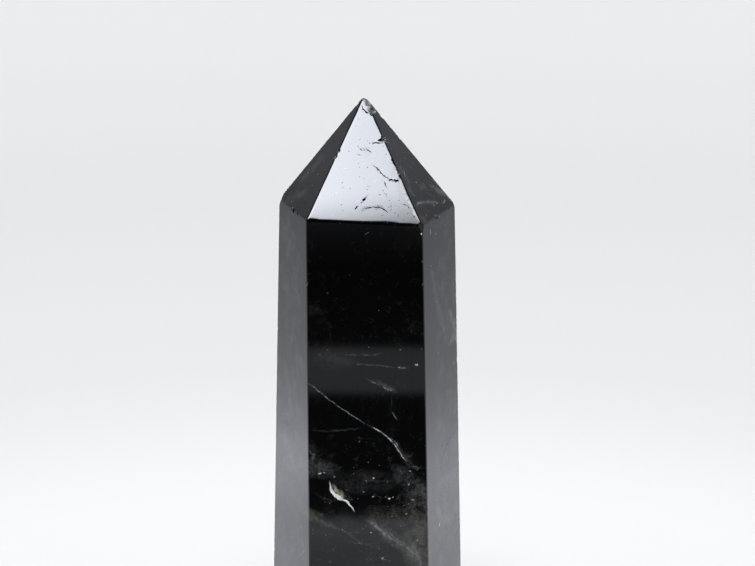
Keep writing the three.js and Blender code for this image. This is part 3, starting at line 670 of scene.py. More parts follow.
def crack(kind, number, wide, deep, spots, seed, gaps=0.12, step=0.14):
    """A keel-shaped groove along a line on a face, which swells and thins as it goes.

    Its section is scaled by a smooth noise that is nothing at both ends. Where the noise falls
    under gaps the keel is above the face, so the line is broken off there.
    """
    line, way, side, outwards = along_path(kind, number, spots, step)
    ends = np.clip(np.minimum(way, way[-1] - way) / min(0.9, way[-1] / 3), 0, 1) ** 0.6
    full = np.clip(0.72 + 0.42 * ripple(way[:, None], seed, 1.3), 0.0, 1.15) * ends
    wander = 0.16 * wide * ripple(way[:, None], seed + 1, 0.9) * ends
    across = np.array([0.5, -0.5, -0.5, -0.22, 0.04, 0.26, 0.5])
    keel = np.array([0, 0, 0, 0.8, 1.0, 0.72, 0])
    lip = np.array([0.12, 0.12, 0, 0, 0, 0, 0])
    thin = 0.35 + 0.65 * full[:, None]
    height = lip - deep * (full[:, None] * keel - gaps)
    rings = (line + side * wander[:, None])[:, None] + side[:, None] * (wide * across * thin)[..., None]
    return tube(rings + outwards * height[..., None], "pit")


def stroke(kind, number, tone, wide, strength, spots, deep, seed):
    """A flat-bottomed inlay along a line on a face: it wanders a little and fades at both ends."""
    line, way, side, outwards = along_path(kind, number, spots, 0.28 + 0.12 * wide)
    ends = np.clip(np.minimum(way, way[-1] - way) / min(1.6, way[-1] / 3), 0, 1)
    wander = 0.05 * ripple(way[:, None], seed, 2.4) + 0.07 * wide * ripple(way[:, None], seed + 1, 1.4)
    swell = 1 + 0.3 * ripple(way[:, None], seed + 2, 2.9)
    half = np.array([1.0, -1.0, -1.0, -0.8, 0.0, 0.8, 1.0])
    height = np.array([0.12, 0.12, 0, -deep * 0.9, -deep, -deep * 0.9, 0])
    across = wide / 2 * half * (0.5 + 0.5 * ends[:, None]) * np.clip(swell, 0.4, 1.5)[:, None]
    rings = (line + side * wander[:, None])[:, None] + side[:, None] * across[..., None]
    lay = np.stack([np.full(across.shape, CRISPNESS.get(tone, 1.0)), np.broadcast_to(half, across.shape),
                    np.broadcast_to((strength * ends)[:, None], across.shape)], -1)
    return tube(rings + outwards * height[:, None], "polish", lay, tone)


def dish(kind, number, spot, long, wide, turn, bowl, finish, strength=0.0, tone="milk", sides=14):
    """A dish with an uneven outline: bowl gives the way out from its middle and the height there."""
    place, outwards = on_face(kind, number, spot)
    rng = np.random.default_rng([number, int(abs(spot[0]) * 50), int(abs(spot[1]) * 50)])
    angle = np.linspace(0, 2 * np.pi, sides, endpoint=False)[None]
    lobes = rng.uniform(0, 2 * np.pi, 3)
    outline = 1 + 0.16 * np.sin(2 * angle + lobes[0]) + 0.12 * np.sin(3 * angle + lobes[1])
    outline = outline + 0.06 * np.sin(5 * angle + lobes[2])
    out, height = np.array(bowl).T[..., None]
    x, y = out * outline * np.cos(angle) * long / 2, out * outline * np.sin(angle) * wide / 2
    z, radius = height * np.ones_like(x), out * np.ones_like(x)
    level = unit(np.array([-outwards[1], outwards[0], 0.0]))
    rings = place_on(np.stack([x, y, z], -1), place, turned(level, outwards, turn), outwards)
    lay = np.stack([np.full(x.shape, FLECK_CRISPNESS), radius, np.full(x.shape, strength)], -1)
    return tube(rings, finish, lay, tone)


def fleck(kind, number, spot, long, wide, turn, deep, strength, tone, sides=14):
    """A flat inlay with an uneven outline, for an inclusion or a film."""
    bowl = ((0.4, -deep), (0.9, -deep * 0.9), (1.15, 0.05))
    return dish(kind, number, spot, long, wide, turn, bowl, "polish", strength, tone, sides)


def pit(kind, number, across, up, long, wide, turn, deep, sides=12):
    """A small open pit: a paraboloid that goes on above the face."""
    bowl = ((0.3, -0.91 * deep), (0.7, -0.51 * deep), (1.0, 0.0), (1.3, 0.7 * deep))
    return dish(kind, number, (across, up), long, wide, turn, bowl, "pit", sides=sides)


def scattered(rng, kind, number, count):
    """Places strewn over a face: slopes as a triangle from the tip, tall faces as a strip."""
    share = rng.uniform(0.08, 0.92, count)
    before = (number - 1) % 6
    if kind == "slope":
        down = np.sqrt(rng.uniform(0.02, 0.95, count))
        left, right, start = SHOULDER[before] - TIP, SHOULDER[number] - TIP, TIP
        places = start + down[:, None] * (left + share[:, None] * (right - left))
    else:
        down = rng.uniform(0.02, 0.98, count)[:, None]
        left = SHOULDER[before] + down * (FOOT[before] - SHOULDER[before])
        right = SHOULDER[number] + down * (FOOT[number] - SHOULDER[number])
        places = left + share[:, None] * (right - left)
    start, normal = on_face(kind, number, (0.0, 0.0))
    level = unit(np.array([-normal[1], normal[0], 0.0]))
    return np.stack([(places - start) @ level, (places - start) @ np.cross(normal, level)], -1)


def far_apart(spots, gap):
    """Keeps the spots that stand at least a gap from every spot before them."""
    distance = np.linalg.norm(spots[:, None] - spots[None], axis=-1)
    earlier = np.tril(np.ones(distance.shape, bool), -1)
    return spots[~((distance < gap) & earlier).any(1)]


def strewn(seed, kind, number, count, smallest, largest):
    """Places, lengths, widths and turns of small marks over a face, most near the smallest size."""
    rng = np.random.default_rng([seed, number])
    spots = far_apart(scattered(rng, kind, number, count), 1.4 * largest)
    long = smallest + (largest - smallest) * rng.uniform(0, 1, len(spots)) ** 3
    wide = long * rng.uniform(0.5, 1.0, len(spots))
    turn = rng.uniform(0, 180, len(spots))
    return list(zip(spots, long, wide, turn))


def strewn_flecks(number, count, deep):
    """Small inclusions over a tall face."""
    rng = np.random.default_rng([SEEDS["fleck strengths"], number])
    marks = strewn(SEEDS["flecks"], "tall", number, count, smallest=0.25, largest=0.7)
    return [fleck("tall", number, *mark, deep, rng.uniform(0.1, 0.8), "air", sides=9)
            for mark in marks]


def strewn_pits(number, count):
    """Tiny pits over a slope."""
    marks = strewn(SEEDS["pits"], "slope", number, count, smallest=0.1, largest=0.28)
    return [pit("slope", number, *spot, *shape, deep=0.05, sides=8) for spot, *shape in marks]


def wandering_strokes(kind, number, count, force):
    """Strokes strewn over a face: each keeps near its own heading and bends a little at each leg."""
    rng = np.random.default_rng([SEEDS["strokes"], number, len(kind)])
    tall = kind == "tall"
    tones = ("milk", "vein", "milk", "olive") if tall else ("scuff", "vein", "milk", "scuff")
    rows = []
    for i, spot in enumerate(scattered(rng, kind, number, count)):
        leg = rng.uniform(0.6, 1.9) if tall else rng.uniform(0.3, 0.9)
        heading = rng.choice([-0.6, 0.5]) + np.cumsum(rng.normal(0, 0.28, 5))
        legs = leg * np.stack([np.cos(heading), np.sin(heading)], -1)
        lower = [0, 0] if tall else [0, 0.8]
        path = spot * 0.92 + np.vstack([[0, 0], np.cumsum(legs, axis=0)]) - lower
        tone = tones[i % len(tones)]
        wide = rng.uniform(0.3, 0.5) if tone in ("vein", "scuff") else rng.uniform(0.7, 2.0)
        strength = force * rng.uniform(0.3, 0.8) * (0.5 if tone == "milk" else 1.0)
        rows.append((kind, number, tone, wide, strength, path))
    return rows


def layered(rows, flush):
    """Strokes sorted into layers, each with one stroke a face and a little deeper than the last.

    Each stroke's noise starts from seeds of its own, by its place among the rows.
    """
    count, layers = {}, []
    for seed, row in enumerate(rows):
        layer = count.get(row[:2], 0)
        count[row[:2]] = layer + 1
        if layer == len(layers):
            layers.append([])
        layers[layer].append(stroke(*row, flush * (1 + LAYER_STEP * layer), STROKE_SEEDS * seed))
    return layers


def cut(stone, cutter):
    """Takes a cutter out of the stone; the cut faces keep the cutter's finish."""
    step = stone.modifiers.new("cut", "BOOLEAN")
    step.operation, step.solver, step.object = "DIFFERENCE", "MANIFOLD", cutter
    shown = bpy.context.evaluated_depsgraph_get()
    before = stone.data
    stone.data = bpy.data.meshes.new_from_object(stone.evaluated_get(shown))
    stone.modifiers.clear()
    bpy.data.meshes.remove(before)
    bpy.data.meshes.remove(cutter.data)


def all_cuts(flush):
    """All that is cut into the ground stone, in order, as layers of shells that don't touch."""
    rows = [row for i in OTHER_FACES
            for row in wandering_strokes("tall", i, STROKES_ON_TALL, CALM.get(i, 1))]
    rows += [row for i in OTHER_FACES
             for row in wandering_strokes("slope", i, STROKES_ON_SLOPE, 0.7 * CALM.get(i, 1))]
    layers = layered((*rows, *STROKES), flush)
    deep = flush * (2 + LAYER_STEP * len(layers))
    layers += [[stroke(*row, deep * (1 + CLEFT_STEP * i), SEEDS["cleft"])]
               for i, row in enumerate(CLEFT)]
    layers.append([fleck("tall", 0, (across, up), long, wide, turn, SPECK_DEPTH * deep, strength, "air")
                   for across, up, long, wide, turn, strength in FRONT_SPECKS])
    layers.append([mark for i in OTHER_FACES for mark in strewn_flecks(i, FLECKS_ON_TALL, deep)])
    layers.append([mark for i in OTHER_FACES for mark in strewn_pits(i, PITS_ON_SLOPE)])
    layers += [[crack(*row, SEEDS["cracks"] + CRACK_SEEDS * i)] for i, row in enumerate(OPEN_CRACKS)]
    layers += [[chip(*row)] for row in CHIPS]
    layers.append([pit(*row) for row in PITS])
    return layers


def finish_stone(stone, ground, materials):
    """Gives each face its finish's material, and every corner the normal that it should shine by.

    Polish follows the ground surface's own way. In chips and cracks a corner takes the mean of the
    faces of its own finish that meet there, each by its area.
    """
    mesh = stone.data
    count = len(mesh.polygons)
    finish = np.zeros(count, np.int32)
    mesh.attributes["finish"].data.foreach_get("value", finish)
    mesh.attributes.remove(mesh.attributes["finish"])
    points = np.empty(len(mesh.vertices) * 3)
    mesh.vertices.foreach_get("co", points)
    points = points.reshape(-1, 3)
    normals = np.empty(count * 3)
    mesh.polygons.foreach_get("normal", normals)
    areas = np.empty(count)
    mesh.polygons.foreach_get("area", areas)
    sizes = np.empty(count, np.int32)
    mesh.polygons.foreach_get("loop_total", sizes)
    vertex = np.empty(len(mesh.loops), np.int32)
    mesh.loops.foreach_get("vertex_index", vertex)
    face = np.repeat(np.arange(count), sizes)

    key = finish[face] * len(points) + vertex
    weighted = (normals.reshape(-1, 3) * areas[:, None])[face]
    keys = len(FINISHES) * len(points)
    total = np.stack([np.bincount(key, weighted[:, k], keys) for k in range(3)], -1)
    corner = total[key]
    flush = finish[face] == FINISHES.index("polish")
    corner[flush] = ground.outside(points)[1][vertex[flush]]

    mesh.vertices.foreach_set("co", (points * MM).ravel())
    mesh.materials.clear()
    for name in FINISHES:
        mesh.materials.append(materials[name])
    mesh.polygons.foreach_set("material_index", finish)
    mesh.polygons.foreach_set("use_smooth", np.ones(count, bool))
    mesh.update()
    mesh.normals_split_custom_set(unit(corner))
    mesh.update()


# Shader sums

class Wire:
    """An output of a node. Sums written with it add Math nodes."""

    def __init__(self, desk, socket):
        self.desk, self.socket = desk, socket

    def math(self, operation, *others):
        return self.desk.node("ShaderNodeMath", {"operation": operation}, (self, *others))

    def __add__(self, other):
        return self.math("ADD", other)

    def __sub__(self, other):
        return self.math("SUBTRACT", other)

    def __rsub__(self, other):
        return self.desk.node("ShaderNodeMath", {"operation": "SUBTRACT"}, (other, self))

    def __mul__(self, other):
        return self.math("MULTIPLY", other)

    def __truediv__(self, other):
        return self.math("DIVIDE", other)

    def __abs__(self):
        return self.math("ABSOLUTE")

    def __pow__(self, other):
        return self.math("POWER", other)

    __radd__ = __add__
    __rmul__ = __mul__


class Desk:
    """A node tree under work."""

    def __init__(self, tree):
        self.tree = tree
        tree.nodes.clear()

    def node(self, kind, settings=None, inputs=(), output=0):
        """Adds a node: its settings first, then its sockets' values or links. Gives one output."""
        made = self.tree.nodes.new(kind)
        for name, value in (settings or {}).items():
            if name == "points":
                self._bend(made.mapping, value)
            else:
                setattr(made, name, value)
        pairs = inputs.items() if isinstance(inputs, dict) else enumerate(inputs)
        for socket, value in pairs:
            if isinstance(value, Wire):
                self.tree.links.new(value.socket, made.inputs[socket])
            else:
                made.inputs[socket].default_value = value
        return Wire(self, made.outputs[output]) if made.outputs else made

    @staticmethod
    def _bend(mapping, points):
        line = mapping.curves[0]
        for x, y in points[1:-1]:
            line.points.new(x, y)
        line.points[0].location = points[0]
        line.points[-1].location = points[-1]
        for point in line.points:
            point.handle_type = "VECTOR"
        mapping.update()

    def split(self, vector):
        """A vector's three measures."""
        apart = self.node("ShaderNodeSeparateXYZ", None, (vector,)).socket.node
        return tuple(Wire(self, socket) for socket in apart.outputs)

    def step(self, value, low, high):
        """Goes smoothly from 0 at low to 1 at high, which may be the lower of the two."""
        flipped = low > high
        ends = (high, low) if flipped else (low, high)
        smooth = self.node("ShaderNodeMapRange", {"interpolation_type": "SMOOTHSTEP"}, (value, *ends))
        return 1 - smooth if flipped else smooth

    def window(self, value, low, high, soft):
        """1 between low and high, fading to 0 over the soft measure outside them."""
        return self.step(value, low - soft, low) * self.step(value, high + soft, high)

    def curve(self, value, points):
        """A line of straight stretches through the points, level beyond the first and last."""
        xs, ys = zip(*points)
        low, high, least, most = xs[0], xs[-1], min(ys), max(ys)
        inner = [((x - low) / (high - low), (y - least) / (most - least)) for x, y in points]
        part = self.node("ShaderNodeMapRange", None, (value, low, high))
        bent = self.node("ShaderNodeFloatCurve", {"points": inner}, {"Value": part})
        return least + bent * (most - least)

    def blend(self, factor, first, second):
        """A colour between two colours."""
        return self.node("ShaderNodeMix", {"data_type": "RGBA"}, {0: factor, 6: first, 7: second}, 2)

    def noise(self, vector, size, detail=4.0, roughness=0.55, distortion=0.0):
        """Cloudy noise about 0.5, with lumps of the given size."""
        return self.node("ShaderNodeTexNoise", None, {
            "Vector": vector, "Scale": 1 / size, "Detail": detail, "Roughness": roughness,
            "Distortion": distortion})

    def cells(self, vector, size, output="Distance"):
        """Distance from the nearest of many strewn points, or another output of that pattern."""
        return self.node("ShaderNodeTexVoronoi", None, {"Vector": vector, "Scale": 1 / size}, output)

    def millimetres(self):
        """The place on the object, in millimetres."""
        place = self.node("ShaderNodeTexCoord", output="Object")
        return self.node("ShaderNodeVectorMath", {"operation": "SCALE"},
                         {"Vector": place, "Scale": 1 / MM})


def material(name):
    """An empty node material and the desk to work on it."""
    made = bpy.data.materials.new(name)
    made.use_nodes = True
    return made, Desk(made.node_tree)


QUARTZ_IOR = 1.544


def colour4(colour):
    return (*colour, 1.0)


def gloss(desk, colour, roughness, normal=None, level=0.5):
    """Quartz's gloss over a body colour; inside narrow pits a lower level dims it as painted shade."""
    inputs = {"Base Color": colour, "Roughness": roughness, "IOR": QUARTZ_IOR,
              "Specular IOR Level": level}
    if normal is not None:
        inputs["Normal"] = normal
    return desk.node("ShaderNodeBsdfPrincipled", None, inputs)


def at_most_one(value):
    return value.math("MINIMUM", 1.0)


# Zones of the stone, each from where it begins to where it is full: heights, depths to the front
# and widths to both sides of the front face's middle.
LOW_ZONE = (62, 30)
MIDDLE_ZONE = (70, 56)
SLOPE_ZONE = (106.0, 108.0)
TIP_ZONE = (125.6, 128.6)
FOG_DEPTH = (-7.0, -11.0)
FRONT_MIDDLE = 0.6
SIDE_ZONE = (12.0, 13.5)


class Patterns:
    """The noises and zones of the stone that several of its layers share."""

    def __init__(self, desk):
        self.place = desk.millimetres()
        self.x, self.y, self.z = desk.split(self.place)
        self.clouds = desk.noise(self.place, 9.0, 5.0, 0.6, 0.4)
        self.wisps = desk.noise(self.place, 2.2, 6.0, 0.68, 0.8)
        self.grain = desk.noise(self.place, 0.4, 4.0, 0.7)
        self.low = desk.step(self.z, *LOW_ZONE)
        self.mid = desk.step(self.z, *MIDDLE_ZONE)
        self.slopes = desk.step(self.z, *SLOPE_ZONE)


def clouded(desk, colours, seen):
    """Black quartz with smoky clouds and milky mottling, both thicker towards the foot."""
    smoke = desk.step(seen.clouds + 0.16 * seen.low, 0.56, 0.86)
    smoke = smoke * (0.2 + seen.wisps) * (0.3 + 0.7 * seen.mid)
    mottle = desk.step(seen.wisps + 0.1 * (seen.grain - 0.5), 0.5, 0.78)
    mottle = mottle * desk.step(seen.clouds + 0.12 * seen.low, 0.5, 0.8)
    mottle = mottle * (0.2 + 0.8 * seen.grain) * (0.35 + 0.65 * seen.mid)
    body = desk.blend(smoke, colour4(colours.black), colour4(colours.smoke))
    return desk.blend(mottle, body, colour4(colours.milk))


def fogged(desk, colours, seen, body):
    """The fog in the front face, in lumps that end behind the face.

    A cloud of fog is 1 in its middle and falls smoothly to 0 on its ellipse, and the clouds add up.
    """
    milky, olive = 0, 0
    for across, up, long, wide, turn, milk_part, olive_part in FOG:
        run, rise = np.cos(np.radians(turn)), np.sin(np.radians(turn))
        along = ((seen.x - across) * run + (seen.z - up) * rise) / long
        aside = ((seen.z - up) * run - (seen.x - across) * rise) / wide
        cloud = desk.step(along * along + aside * aside, 1.0, 0.0)
        milky, olive = cloud * milk_part + milky, cloud * olive_part + olive
    lumps = 0.1 + 1.6 * desk.step(desk.noise(seen.place, 1.7, 8.0, 0.8, 0.3), 0.38, 0.66)
    lumps = lumps * (0.1 + 1.8 * seen.grain) * desk.step(seen.y, *FOG_DEPTH)
    body = desk.blend(at_most_one(milky * lumps), body, colour4(colours.milk))
    return desk.blend(at_most_one(olive * lumps), body, colour4(colours.olive))


def threaded(desk, colours, seen, body):
    """Thin threads of healed cracks, along the lines where a bent noise passes its middle."""
    bend = desk.noise(seen.place, 5.0, 4.0, 0.55, 1.0)
    thread = desk.step(abs(bend - 0.5), 0.02, 0.002) * desk.step(seen.wisps, 0.46, 0.66)
    return desk.blend(thread * (0.08 + 0.2 * seen.mid), body, colour4(colours.milk))


def veiled(desk, colours, seen, body):
    """A milky veil on the faces beside the front one, thin on the slopes."""
    side = desk.step(abs(seen.x - FRONT_MIDDLE), *SIDE_ZONE) * (1 - seen.slopes * 0.8)
    veil = desk.step(desk.noise(seen.place, 3.6, 8.0, 0.72, 0.4), 0.42, 0.74) * (0.3 + 1.4 * seen.grain)
    return desk.blend(veil * side * 0.6, body, colour4(colours.milk))


def starry(desk, colours, seen, body):
    """Tiny inclusions: dots in the middle of strewn cells, each cell with its own chance of one."""
    stars = 0
    for size, radius, most in ((2.3, 0.06, 0.5), (0.8, 0.15, 0.3)):
        dot = desk.step(desk.cells(seen.place, size), radius, radius * 0.3)
        draw = desk.split(desk.cells(seen.place, size, "Color"))[0]
        stars = dot * desk.step(draw, 0.55, 1.0) * most + stars
    share = 0.04 + 0.96 * seen.mid + 0.9 * seen.slopes
    return desk.blend(stars * share, body, colour4(colours.fleck))


def inlays(desk, seen):
    """The strokes and flecks in the polish: how far they cover it, their colour, how bare they are.

    Across an inlay the cover falls from the middle to the rim, all the way on a cloud and a torn
    line, and close to the rim on a whole one. Noise makes lumps in a cloud and gaps in a torn line.
    """
    lay = desk.node("ShaderNodeAttribute", {"attribute_name": "lay"}, output="Vector")
    crisp, across, strength = desk.split(lay)
    dye = desk.node("ShaderNodeAttribute", {"attribute_name": "dye"}, output="Color")
    bare = desk.node("ShaderNodeAttribute", {"attribute_name": "dye"}, output="Alpha")
    beads = desk.noise(seen.place, 0.9, 5.0, 0.68, 0.5)
    torn = 0.2 + 1.1 * desk.step(beads + 0.5 * (seen.grain - 0.5), 0.38, 0.62)
    lumps = 0.3 + 1.3 * desk.step(desk.noise(seen.place, 2.6, 8.0, 0.72, 0.5), 0.3, 0.72)
    lumps = lumps * (0.5 + seen.grain)
    line, whole = at_most_one(crisp), (crisp - 1).math("MAXIMUM", 0.0)
    soft, hard = desk.step(abs(across), 1.0, 0.0), desk.step(abs(across), 1.0, 0.75)
    cover = soft * (lumps + line * (torn - lumps))
    cover = cover + whole * (hard * (0.7 + 0.4 * torn) - cover)
    return at_most_one(strength * cover), dye, bare


def bare_dots(desk, seen):
    """Unpolished dots: most on the right of the front slope, hardly any on the tall faces."""
    right = desk.step(seen.y, -1.0, -3.0) * desk.step(seen.x + 0.3 * (seen.z - 118), -3.0, 3.0)
    size = 0.75
    dot = desk.step(desk.cells(seen.place, size), 0.24, 0.1)
    draw = desk.split(desk.cells(seen.place, size, "Color"))[1]
    crowd = desk.step(seen.clouds, 0.42, 0.62) * 0.22 + right * seen.slopes * 0.4
    return dot * desk.step(draw + crowd, 0.86, 1.1) * (0.05 + 0.95 * seen.slopes)


def polish_material(colours):
    """The stone under its mirror polish, which has hairlines, dulled patches and long low waves.

    Bare inlays and unpolished dots are dull quartz instead.
    """
    made, desk = material("morion_polish")
    seen = Patterns(desk)
    body = clouded(desk, colours, seen)
    for layer in (fogged, threaded, veiled, starry):
        body = layer(desk, colours, seen, body)
    cover, dye, bare = inlays(desk, seen)
    body = desk.blend(cover * (1 - bare), body, dye)

    hairlines = desk.noise(desk.node("ShaderNodeMapping", None, {
        "Vector": seen.place, "Rotation": (0.3, 0.0, 0.5), "Scale": (6.0, 6.0, 0.12)}), 1.0, 3.0)
    patches = desk.step(seen.clouds, 0.6, 0.8) * seen.grain
    rough = colours.polish + 0.03 * desk.step(hairlines, 0.5, 0.8) + 0.08 * patches
    swell = desk.noise(seen.place, 15.0, 1.0, 0.4) + 0.02 * desk.noise(seen.place, 2.6, 2.0, 0.5)
    waves = desk.node("ShaderNodeBump", None, {"Strength": 1.0, "Distance": 2.5e-6, "Height": swell})
    dull = gloss(desk, desk.blend(cover, colour4(colours.bare), dye), 0.75)
    dullness = at_most_one((cover * bare).math("MAXIMUM", bare_dots(desk, seen) * 0.7))
    skin = desk.node("ShaderNodeMixShader", None, {
        0: dullness, 1: gloss(desk, body, rough, waves), 2: dull})
    desk.node("ShaderNodeOutputMaterial", None, {"Surface": skin})
    return made


def break_material(colours):
    """Shell-shaped breaks: dark glassy quartz with bruised patches, crushed and pale at the tip.
    The paleness on the tip's left side is partly a painted highlight.
    """
    made, desk = material("morion_break")
    place = desk.millimetres()
    x, _, z = desk.split(place)
    crushed = desk.step(z, *TIP_ZONE)
    across, up, rim, full = PALE_FLAKE
    flake = desk.step(((x - across) ** 2.0 + (z - up) ** 2.0) ** 0.5, rim, full)
    # Pale crushed quartz at the tip; its left side's paleness is partly a painted highlight.
    pale = crushed * at_most_one(desk.step(x, 0.0, -0.85) + 0.8 * flake)
    bruise = desk.step(desk.noise(place, 0.8, 5.0, 0.65) + 0.14 * crushed, 0.46, 0.78)
    bruise = at_most_one(bruise * (0.5 + 0.2 * crushed) + 0.5 * pale)
    body = desk.blend(bruise, colour4(colours.black), colour4(colours.bruise))
    body = desk.blend(pale * pale * 0.7, body, colour4(colours.fleck))
    grit = desk.noise(place, 0.16, 3.0, 0.6)
    bump = desk.node("ShaderNodeBump", None, {"Strength": 0.6, "Distance": 2e-5, "Height": grit})
    glassy = gloss(desk, body, 0.14 + 0.3 * bruise, bump)
    desk.node("ShaderNodeOutputMaterial", None, {"Surface": glassy})
    return made


def pit_material(colours):
    """The unpolished walls of pits and open cracks: nearly black, with a trace of frost, and with
    hardly any gloss, a painted shade for the light that is caught in them."""
    made, desk = material("morion_pit")
    frost = desk.noise(desk.millimetres(), 0.35, 4.0, 0.6)
    body = desk.blend(desk.step(frost, 0.5, 0.8) * 0.3, colour4(colours.black), colour4(colours.bruise))
    # The low gloss level is painted shade in the pits and cracks.
    desk.node("ShaderNodeOutputMaterial", None, {"Surface": gloss(desk, body, 0.6, level=0.03)})
    return made


# Strength of the room's light by the lift that it comes from, in degrees: the walls, the lit table
# with the dark room over it, and what hangs high in front.
WALL_LIGHT = ((-90, 1.1), (-30, 1.2), (-20, 1.3), (-17.9, 1.5), (-16.6, 1.34), (-15.3, 1.04),
              (-14.2, 0.87), (-13.0, 0.76), (-11, 0.68), (-9, 0.58), (0, 0.52), (12, 0.46), (21, 0.37),
              (22, 0.39), (23, 0.45), (24, 0.515), (25.5, 0.54), (45, 0.55), (90, 0.9))
TABLE_LIGHT = ((-20, 0.68), (-18.6, 0.68), (-18.25, 0.78), (-17.95, 0.92), (-17.75, 0.86),
               (-17.62, 0.76), (-17.52, 0.5), (-17.42, 0.14), (-17.3, 0.045), (-8.4, 0.018),
               (-7.4, 0.06), (-6.6, 0.13), (-4, 0.1), (2, 0.018))
HIGH_LIGHT = ((40, 0), (60, 0.18), (90, 0.88))

# The walls' and the soft box's strength by the azimuth, from the front towards the right.
WALL_ROUND = ((-180, 1.0), (-134, 0.95), (0, 1.0), (130, 1.11), (180, 1.0))
BOX_ROUND = ((-30, 1.1), (0, 1.08), (6, 0.88), (30, 0.8))

# Bands of lift: the glow low on the left wall, the pale strip across the table, the dark part of
# the walls high beside the front, the soft box and the fainter one behind.
GLOW_BAND = (-18.8, -17.4)
STRIP_BAND = (-12.85, -11.5)
DARK_BAND = (40, 66)
BOX_BAND = (52.0, 70.0)
BACK_BOX_BAND = (46.0, 60.0)

# Angles round from the front: where the walls begin, where their dark part lies, and where the
# soft box ends and the fainter one begins.
WALLS_FROM = (36, 44)
DARK_ROUND = (20, 100)
BOX_ENDS = (30, 20)
BACK_BOX_FROM = (150, 160)


def studio_world(studio):
    """The light of the room, by the direction that it comes from.

    Behind and beside the stone lie pale walls that brighten below the level, most on the left. In
    front the room is dark down to the lit table, with one pale strip across it, and a soft box
    with a slightly tilted edge hangs high there. A fainter box hangs behind.
    """
    world = bpy.data.worlds.new("studio")
    world.use_nodes = True
    desk = Desk(world.node_tree)
    x, y, z = desk.split(desk.node("ShaderNodeTexCoord", output="Generated"))
    degrees = 180 / np.pi
    lift = z.math("ARCSINE") * degrees
    azimuth = x.math("ARCTAN2", 0 - y) * degrees
    turn = abs(azimuth)

    glow = 0.16 * desk.window(lift, *GLOW_BAND, 0.9) * desk.step(azimuth, 0.0, -60.0)
    walls = (desk.curve(lift, WALL_LIGHT) + glow) * desk.curve(azimuth, WALL_ROUND)
    strip = 0.44 * desk.window(lift, *STRIP_BAND, 0.3)
    front = desk.curve(lift, TABLE_LIGHT) + desk.curve(lift, HIGH_LIGHT) + strip
    dark_side = desk.window(turn, *DARK_ROUND, 12) * desk.window(lift, *DARK_BAND, 6)
    beside = desk.step(turn, *WALLS_FROM) * (1 - dark_side)
    room = walls * beside + front * (1 - beside)

    edge = lift + 0.07 * (4 - azimuth.math("MINIMUM", 8).math("MAXIMUM", -8))
    box = desk.window(edge, *BOX_BAND, 2.6) * desk.step(turn, *BOX_ENDS) * desk.curve(azimuth, BOX_ROUND)
    back_box = 0.3 * desk.window(lift, *BACK_BOX_BAND, 3.0) * desk.step(turn, *BACK_BOX_FROM)
    light = room * studio.room + (box + back_box) * studio.box
    tint = desk.blend(desk.step(light, 0.3, 6.0), colour4(studio.room_tint), colour4(studio.box_tint))
    shine = desk.node("ShaderNodeBackground", None, {"Color": tint, "Strength": light})
    desk.node("ShaderNodeOutputWorld", None, {"Surface": shine})
    bpy.context.scene.world = world


# Light and shade painted into the floor's colour by the distance from the stone's middle, in
# millimetres: a painted pool of light near the stone, dimmer farther off, brighter again up the curve.
FLOOR_PAINTED_LIGHT = ((0, 0.93), (147, 0.934), (186, 0.905), (232, 0.856), (286, 0.823), (434, 0.806),
               (605, 0.783), (660, 0.794), (753, 0.855), (825, 0.93), (1000, 0.94))


def studio_floor(studio):
    """A round sweep: flat, then curved up in a quarter circle to an upright wall, with light and shade
    painted into its colour by the distance. Only the camera sees it; what the stone mirrors is the light
    of the room."""
    flat, bend, wall = studio.flat / MM, studio.bend / MM, studio.wall / MM
    rows, around = 16, 128
    arc = np.linspace(0, np.pi / 2, 24)[1:]
    reach = np.concatenate([np.linspace(20, flat, rows), flat + bend * np.sin(arc), [flat + bend]])
    height = np.concatenate([np.zeros(rows), bend * (1 - np.cos(arc)), [bend + wall]])
    angle = np.linspace(0, 2 * np.pi, around, endpoint=False)
    rings = np.stack([reach[:, None] * np.cos(angle), reach[:, None] * np.sin(angle),
                      np.broadcast_to(height[:, None], (len(reach), around))], -1)
    bowl = tube(rings, "polish")
    last = len(bowl.points) - 1
    mesh = bpy.data.meshes.new("studio_floor")
    mesh.from_pydata(bowl.points[:-1] * MM, [], [face[::-1] for face in bowl.faces if last not in face])
    mesh.shade_smooth()
    made, desk = material("studio_floor")
    x, y, _ = desk.split(desk.millimetres())
    # Painted light and shade: the floor's colour follows the distance from the stone.
    shade = desk.curve((x * x + y * y) ** 0.5, FLOOR_PAINTED_LIGHT)
    shader = desk.node("ShaderNodeBsdfDiffuse", None, {
        "Color": desk.blend(shade, (0.0, 0.0, 0.0, 1.0), colour4(studio.floor))})
    desk.node("ShaderNodeOutputMaterial", None, {"Surface": shader})
    mesh.materials.append(made)
    floor = bpy.data.objects.new("studio_floor", mesh)
    bpy.context.scene.collection.objects.link(floor)
    for ray in ("visible_diffuse", "visible_glossy", "visible_transmission", "visible_shadow"):
        setattr(floor, ray, False)


def studio_camera(studio):
    """The camera before the stone, looking a little down on it."""
    data = bpy.data.cameras.new("camera")
    data.lens = studio.lens
    data.sensor_width = 36.0
    data.clip_start = 0.01
    camera = bpy.data.objects.new("camera", data)
    camera.location = studio.camera_place
    camera.rotation_euler = (np.pi / 2 - studio.camera_dip, 0.0, 0.0)
    bpy.context.scene.collection.objects.link(camera)
    bpy.context.scene.camera = camera


# Settings

def colour_setting(name, description, default):
    return FloatVectorProperty(name=name, description=description, default=default, size=3, min=0.0,
                               max=1.0, subtype="COLOR")


def length_setting(name, description, default):
    return FloatProperty(name=name, description=description, default=default, min=0.0, unit="LENGTH")


